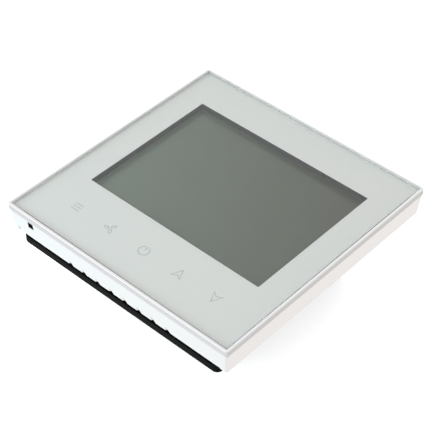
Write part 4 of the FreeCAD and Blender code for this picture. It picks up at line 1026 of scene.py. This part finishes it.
# %% Fuse and air sensor
FUSE_CAP = 2.2 * MM
FUSE_PALE = (0.62, 0.66, 0.66, 1.0)
FUSE_BRIGHT = (0.70, 0.70, 0.69, 1.0)
BEAD_BROWN = (0.17, 0.065, 0.025, 1.0)
BEAD_DARK = (0.07, 0.025, 0.012, 1.0)


def fuse_glass():
    """Glass in the middle and metal at both ends, split by the distance from the middle."""
    material, tree, shader = finish("fuse")
    low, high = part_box("fuse")
    middle, half = (low.x + high.x) / 2, (high.x - low.x) / 2
    away = combine(tree, "ABSOLUTE", combine(tree, "SUBTRACT", along_axis(tree, "X"), middle), 0.0)
    cap = spread(tree, away, half - FUSE_CAP, half - FUSE_CAP + 0.05 * MM, 0.0, 1.0)
    touched = place(tree, smudges, Clean_Roughness=0.12, Amount=0.15)
    colour = tint(tree, cap, FUSE_PALE, FUSE_BRIGHT)
    drive(tree, shader, Base_Color=colour, Metallic=cap, Roughness=touched["Roughness"])
    return material


def sensor_bead():
    """Brown glass with darker swirls, dipped and glossy."""
    material, tree, shader = finish("sensor bead", Coat_Weight=0.6, Coat_Roughness=0.08)
    swirl = spread(tree, noise(tree, 2200.0, 3.0), 0.4, 0.65, 0.0, 1.0)
    colour = tint(tree, swirl, BEAD_BROWN, BEAD_DARK)
    drive(tree, shader, Base_Color=colour, Roughness=spread(tree, swirl, 0.0, 1.0, 0.25, 0.4))
    return material


give(fuse_glass(), "fuse_glass")
give(sensor_bead(), "sensor_glass")

# %% [markdown]
# ## Glass bond and painted shade in the sensor hole
# A pale bead of adhesive fills the fine gap between the glass and the rim, a little below the
# front. The hole for the air sensor is lined with a thin black sleeve, a painted shade that makes
# the hole read as black. Dark and pale paint on the walls would look much the same, but a seal
# and a lining are usually pieces of their own, so both are thin closed solids here.

# %% Glass bond and painted shade in the sensor hole
BOND_GAP = (0.01 * MM, 0.14 * MM)
BOND_SINK = 0.12 * MM
BOND_CORNER = 0.02 * MM
BOND_PALE = (0.78, 0.79, 0.78, 1.0)
SENSOR_HOLE = (-33.7 * MM, -9.6 * MM)
SENSOR_HOLE_HALF = (1.09 * MM, 1.14 * MM)
SLEEVE_WALL = 0.08 * MM
SLEEVE_ENDS = (-42.58 * MM, -36.6 * MM)


def bond_finish():
    """Pale silicone with a dull skin."""
    material, tree, shader = finish("pale bond")
    skin_over(tree, shader, BOND_PALE,
              roughness=0.5, grain=4000.0, drift=0.05, depth=0.01 * MM, strength=0.3)
    return material


def glass_bond():
    """A square ring of adhesive in the gap."""
    low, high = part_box("glass_panel")
    outlines = []
    for gap in reversed(BOND_GAP):
        outlines.append(rounded_outline(low.x - gap, high.x + gap, low.z - gap, high.z + gap, BOND_CORNER))
    shape = bmesh.new()
    ring(shape, *outlines, low.y + BOND_SINK, high.y)
    new_piece("glass_bond", "front_unit", bond_finish(), shape)


def sensor_hole_shade_lining():
    """Four thin black walls round the channel, open at both ends: painted shade inside the hole."""
    (x, y), (half_x, half_y) = SENSOR_HOLE, SENSOR_HOLE_HALF
    shape = bmesh.new()
    for side in (-1, 1):
        across = sorted((x + side * half_x, x + side * (half_x - SLEEVE_WALL)))
        block(shape, (across[0], y - half_y, SLEEVE_ENDS[0]), (across[1], y + half_y, SLEEVE_ENDS[1]))
        depth = sorted((y + side * half_y, y + side * (half_y - SLEEVE_WALL)))
        inner = half_x - SLEEVE_WALL
        block(shape, (x - inner, depth[0], SLEEVE_ENDS[0]), (x + inner, depth[1], SLEEVE_ENDS[1]))
    # painted shade: the black lining stands in for the shade inside the hole
    new_piece("sensor_hole_shade_lining", "front_unit", mouldings["black_foam"], shape)


glass_bond()
sensor_hole_shade_lining()

# %% [markdown]
# ## Chip legs and small parts of the display board
# With the front unit off, the rear of its board shows. The controller has legs on four sides and
# the driver on two, each leg a strip of tinned copper with a shoulder, a drop and a foot.
# Rows of small resistors and capacitors stand beside them: a ceramic body with a tinned cap
# at each end. Loops place them, since a real board repeats one pattern many times.

# %% Chip legs and small parts
BOARD_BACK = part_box("display_board")[1].y
LEG_WIDTH = 0.22 * MM
LEG_THICKNESS = 0.12 * MM
LEG_REACH = 0.9 * MM
LEG_PITCH = 0.65 * MM
LEG_RISE = 0.7 * MM
LEG_GAP = 0.01 * MM
LEG_END_MARGIN = 0.6 * MM
LEG_SHOULDER, LEG_DROP = 0.35, 0.5


def chip_leg(shape, root, outward, along):
    """One leg from the chip's side: shoulder, drop and foot. Directions are in (x, z)."""
    floor = BOARD_BACK + LEG_GAP
    top = floor + LEG_RISE
    steps = [(0.0, LEG_SHOULDER, top - LEG_THICKNESS, top),
             (LEG_SHOULDER, LEG_DROP, floor, top),
             (LEG_DROP, 1.0, floor, floor + LEG_THICKNESS)]
    for start, end, low_y, high_y in steps:
        corners = []
        for share, side in ((start, -0.5), (end, 0.5)):
            reach = outward * (share * LEG_REACH) + along * (side * LEG_WIDTH)
            corners.append(root + reach)
        low_x, high_x = sorted(c.x for c in corners)
        low_z, high_z = sorted(c.y for c in corners)
        block(shape, (low_x, low_y, low_z), (high_x, high_y, high_z))


def chip_legs(chip, ways):
    """Legs along the chosen sides of a chip, evenly spaced about the middle of each side."""
    low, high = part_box(chip)
    middle = Vector(((low.x + high.x) / 2, (low.z + high.z) / 2))
    shape = bmesh.new()
    for way in ways:
        outward = Vector(way)
        along = Vector((-outward.y, outward.x))
        half = (high.x - low.x) / 2 if outward.x else (high.z - low.z) / 2
        side = (high.z - low.z) if outward.x else (high.x - low.x)
        count = int((side - 2 * LEG_END_MARGIN) / LEG_PITCH)
        for i in range(count):
            root = middle + outward * half + along * (LEG_PITCH * (i - (count - 1) / 2))
            chip_leg(shape, root, outward, along)
    new_piece(f"{chip}_legs", "front_unit", metals["tinned_wire"], shape)


chip_legs("controller_chip", [(1, 0), (-1, 0), (0, 1), (0, -1)])
chip_legs("driver_chip", [(0, 1), (0, -1)])

CHIP_SIZE = (1.6 * MM, 0.55 * MM, 0.8 * MM)
CAP_LENGTH = 0.3 * MM
# x and z of the first part in mm, steps in x and z in mm, number of parts
SMALL_ROWS = [
    (-9.0, 15.0, 0.0, -2.2, 5),
    (2.0, 24.0, 2.6, 0.0, 4),
    (-4.0, -24.0, 2.6, 0.0, 5),
    (27.5, -22.0, 0.0, 2.2, 4),
]


def small_parts():
    """Bodies and tinned caps of the small parts, in rows."""
    bodies, caps = bmesh.new(), bmesh.new()
    length, height, width = CHIP_SIZE
    floor = BOARD_BACK + LEG_GAP
    for start_x, start_z, step_x, step_z, count in SMALL_ROWS:
        for i in range(count):
            x, z = (start_x + step_x * i) * MM, (start_z + step_z * i) * MM
            inner, outer = length / 2 - CAP_LENGTH, length / 2
            block(bodies, (x - inner, floor, z - width / 2), (x + inner, floor + height, z + width / 2))
            for low_x, high_x in ((x - outer, x - inner), (x + inner, x + outer)):
                block(caps, (low_x, floor, z - width / 2), (high_x, floor + height, z + width / 2))
    new_piece("small_part_bodies", "front_unit", mouldings["chip_black"], bodies)
    new_piece("small_part_caps", "front_unit", metals["tinned_wire"], caps)


small_parts()

# %% [markdown]
# ## Tracks
# Copper tracks under the lacquer lead from the chips to the plug. They could be painted on
# the board, but from close by the lacquer stands up over the copper. So they are ribbons
# again, straight runs joined by slanted ones, just proud of the board.

# %% Tracks
TRACK_WIDTH = 0.35 * MM
TRACK_THICKNESS = 0.03 * MM
TRACK_COUNT = 8
TRACK_PITCH = 1.1 * MM
TRACK_STAGGER = 0.4
FROM_CHIP = 1.2 * MM
FROM_PLUG = 0.4 * MM
FIRST_TURN = 4 * MM
PLUG_END_MARGINS = (2 * MM, 1 * MM)
DRIVER_TURN = (1.5 * MM, 1.1 * MM)
TRACK_GREEN = (0.055, 0.24, 0.085, 1.0)


def track_finish():
    """Copper seen through green lacquer: lighter than the board, glossy."""
    material, tree, shader = finish("lacquered copper", **LACQUER_COAT)
    skin_over(tree, shader, TRACK_GREEN, roughness=0.35, grain=3000.0, drift=0.1, depth=0.01 * MM)
    return material


def tracks():
    """A bundle from the controller down to the plug, and one from the plug to the driver."""
    chip_low, chip_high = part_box("controller_chip")
    plug_low, plug_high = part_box("plug_body")
    driver_low, driver_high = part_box("driver_chip")
    front = BOARD_BACK + LEG_GAP / 2
    shape = bmesh.new()
    for i in range(TRACK_COUNT):
        start_x = (chip_low.x + chip_high.x) / 2 + TRACK_PITCH * (i - (TRACK_COUNT - 1) / 2)
        end_x = plug_low.x + PLUG_END_MARGINS[0] + TRACK_PITCH * i
        turn_z = chip_low.z - FIRST_TURN - TRACK_PITCH * i * TRACK_STAGGER
        drop = (end_x - start_x) / 2
        path = [(start_x, chip_low.z - FROM_CHIP), (start_x, turn_z), (end_x, turn_z - drop),
                (end_x, plug_high.z + FROM_PLUG)]
        ribbon(shape, path, TRACK_WIDTH, front, front + TRACK_THICKNESS)
    to_driver = TRACK_COUNT // 2
    for i in range(to_driver):
        start_x = plug_high.x - PLUG_END_MARGINS[1] - TRACK_PITCH * i
        end_x = (driver_low.x + driver_high.x) / 2 + TRACK_PITCH * ((to_driver - 1) / 2 - i)
        path = [(start_x, plug_low.z - FROM_PLUG), (start_x, plug_low.z - FROM_CHIP),
                (end_x, driver_high.z + DRIVER_TURN[0]), (end_x, driver_high.z + DRIVER_TURN[1])]
        ribbon(shape, path, TRACK_WIDTH, front, front + TRACK_THICKNESS)
    new_piece("board_tracks", "front_unit", track_finish(), shape)


tracks()

# %% [markdown]
# ## Table, world and lamps
# The thermostat lies on its back on a white table, so the table is a sheet behind its
# in-wall box. It is seen from its front only: from behind it is clear, so that the
# back of the thermostat can be looked at. The world is a soft white tent: white on the room
# side and brightest at its far left, which the rounded lower edge of the rim mirrors, a
# little dimmer and cooler behind at the left, dimmer and warmer behind at the right.
# A small lamp near the left edge gives the fall of light across the glass, and two broad
# lamps stand for what the table throws back onto the side walls. A picture of a studio
# wrapped round the scene could light it as well, but a few named tones are easier to tune.

# %% Table
TABLE_HALF = 1.5
TABLE_GAP = 0.3 * MM
TABLE_COLOUR = (0.93, 0.93, 0.93, 1.0)
TABLE_GLOW = 0.62
WHITE = (1.0, 1.0, 1.0, 1.0)


def table_finish():
    """Pale matt board, clear when it is looked at from behind."""
    material, tree, shader = finish("pale table", Emission_Strength=TABLE_GLOW)
    skin_over(tree, shader, TABLE_COLOUR, roughness=0.8, grain=800.0, drift=0.01)
    shader.inputs["Emission Color"].default_value = WHITE
    behind = add(tree, "ShaderNodeNewGeometry").outputs["Backfacing"]
    see_past = add(tree, "ShaderNodeBsdfTransparent").outputs["BSDF"]
    show_blend(tree, behind, shader.outputs["BSDF"], see_past)
    return material


def table():
    """One large sheet, facing the room, just behind the deepest point of the object. It is only
    for the eye: it throws no light on the object, shows in no mirror and casts no shadow."""
    depth = CAD_BOX[1].y + TABLE_GAP
    mesh = bpy.data.meshes.new("table")
    corners = [(-TABLE_HALF, depth, -TABLE_HALF), (TABLE_HALF, depth, -TABLE_HALF),
               (TABLE_HALF, depth, TABLE_HALF), (-TABLE_HALF, depth, TABLE_HALF)]
    mesh.from_pydata(corners, [], [(0, 1, 2, 3)])
    mesh.materials.append(table_finish())
    sheet = add_to_scene("table", mesh)
    for kind in ("diffuse", "glossy", "transmission", "shadow"):
        setattr(sheet, f"visible_{kind}", False)
    print("table at y", round(depth, 5), "faces", [round(c, 2) for c in mesh.polygons[0].normal])


table()

# %% World and lamps
TENT_FRONT = (0.93, 0.94, 0.945, 1.0)
TENT_BACK_LEFT = (0.81, 0.82, 0.835, 1.0)
TENT_BACK_RIGHT = (0.67, 0.645, 0.62, 1.0)
TENT_BRIGHT_LEFT = (1.4, 1.4, 1.4, 1.0)
# where each change of tone starts and ends along a direction of unit length
TENT_SIDES = (-0.7, 0.7)
TENT_DEPTH = (-0.4, 0.5)
TENT_FAR_LEFT = (-0.5, -0.8)


def soft_tent():
    """Soft white surroundings: white where the camera looks past the object, and for light
    a tone that changes from the room side to the table side and from left to right."""
    world = bpy.data.worlds.new("soft tent")
    world.use_nodes = True
    tree = world.node_tree
    tree.nodes.clear()
    way = add(tree, "ShaderNodeTexCoord").outputs["Generated"]
    depth = add(tree, "ShaderNodeSeparateXYZ", {"Vector": way}).outputs["Y"]
    sideways = {0: way, 1: camera_right}
    across = add(tree, "ShaderNodeVectorMath", sideways, operation="DOT_PRODUCT").outputs["Value"]
    behind = tint(tree, spread(tree, across, *TENT_SIDES, 0.0, 1.0), TENT_BACK_LEFT, TENT_BACK_RIGHT)
    before = tint(tree, spread(tree, across, *TENT_FAR_LEFT, 0.0, 1.0), TENT_FRONT, TENT_BRIGHT_LEFT)
    light = tint(tree, spread(tree, depth, *TENT_DEPTH, 0.0, 1.0), before, behind)
    seen = tint(tree, add(tree, "ShaderNodeLightPath").outputs["Is Camera Ray"], light, WHITE)
    sky = add(tree, "ShaderNodeBackground", {"Color": seen, "Strength": 1.0})
    add(tree, "ShaderNodeOutputWorld", {"Surface": sky.outputs["Background"]})
    bpy.context.scene.world = world


def soft_lamp(name, place_from_middle, size, power, colour):
    """A square lamp that looks at the middle of the object and shows in no mirror."""
    light = bpy.data.lights.new(name, "AREA")
    light.shape = "SQUARE"
    light.size = size
    light.energy = power
    light.color = colour
    lamp = add_to_scene(name, light)
    lamp.location = place_from_middle
    lamp.rotation_euler = place_from_middle.to_track_quat("Z", "Y").to_euler()
    lamp.visible_glossy = False
    lamp.visible_transmission = False
    print(name, "at", [round(c, 2) for c in lamp.location], "power", power)


LEFT_LAMP_PLACE = out_of_wall * 0.10 - camera_right * 0.25 + towards_camera * 0.08
# name, place, size in metres, power in watts, colour
LAMPS = [
    ("lamp_left", LEFT_LAMP_PLACE, 0.12, 0.25, (0.52, 0.90, 0.95)),
    ("lamp_below", Vector((-0.25, 0.28, -0.72)), 0.4, 0.1, (0.98, 0.98, 1.0)),
    ("lamp_right", Vector((0.72, 0.28, 0.2)), 0.4, 1.2, (1.0, 0.95, 0.88)),
]
soft_tent()
for lamp in LAMPS:
    soft_lamp(*lamp)
bpy.context.scene.view_settings.view_transform = "Standard"
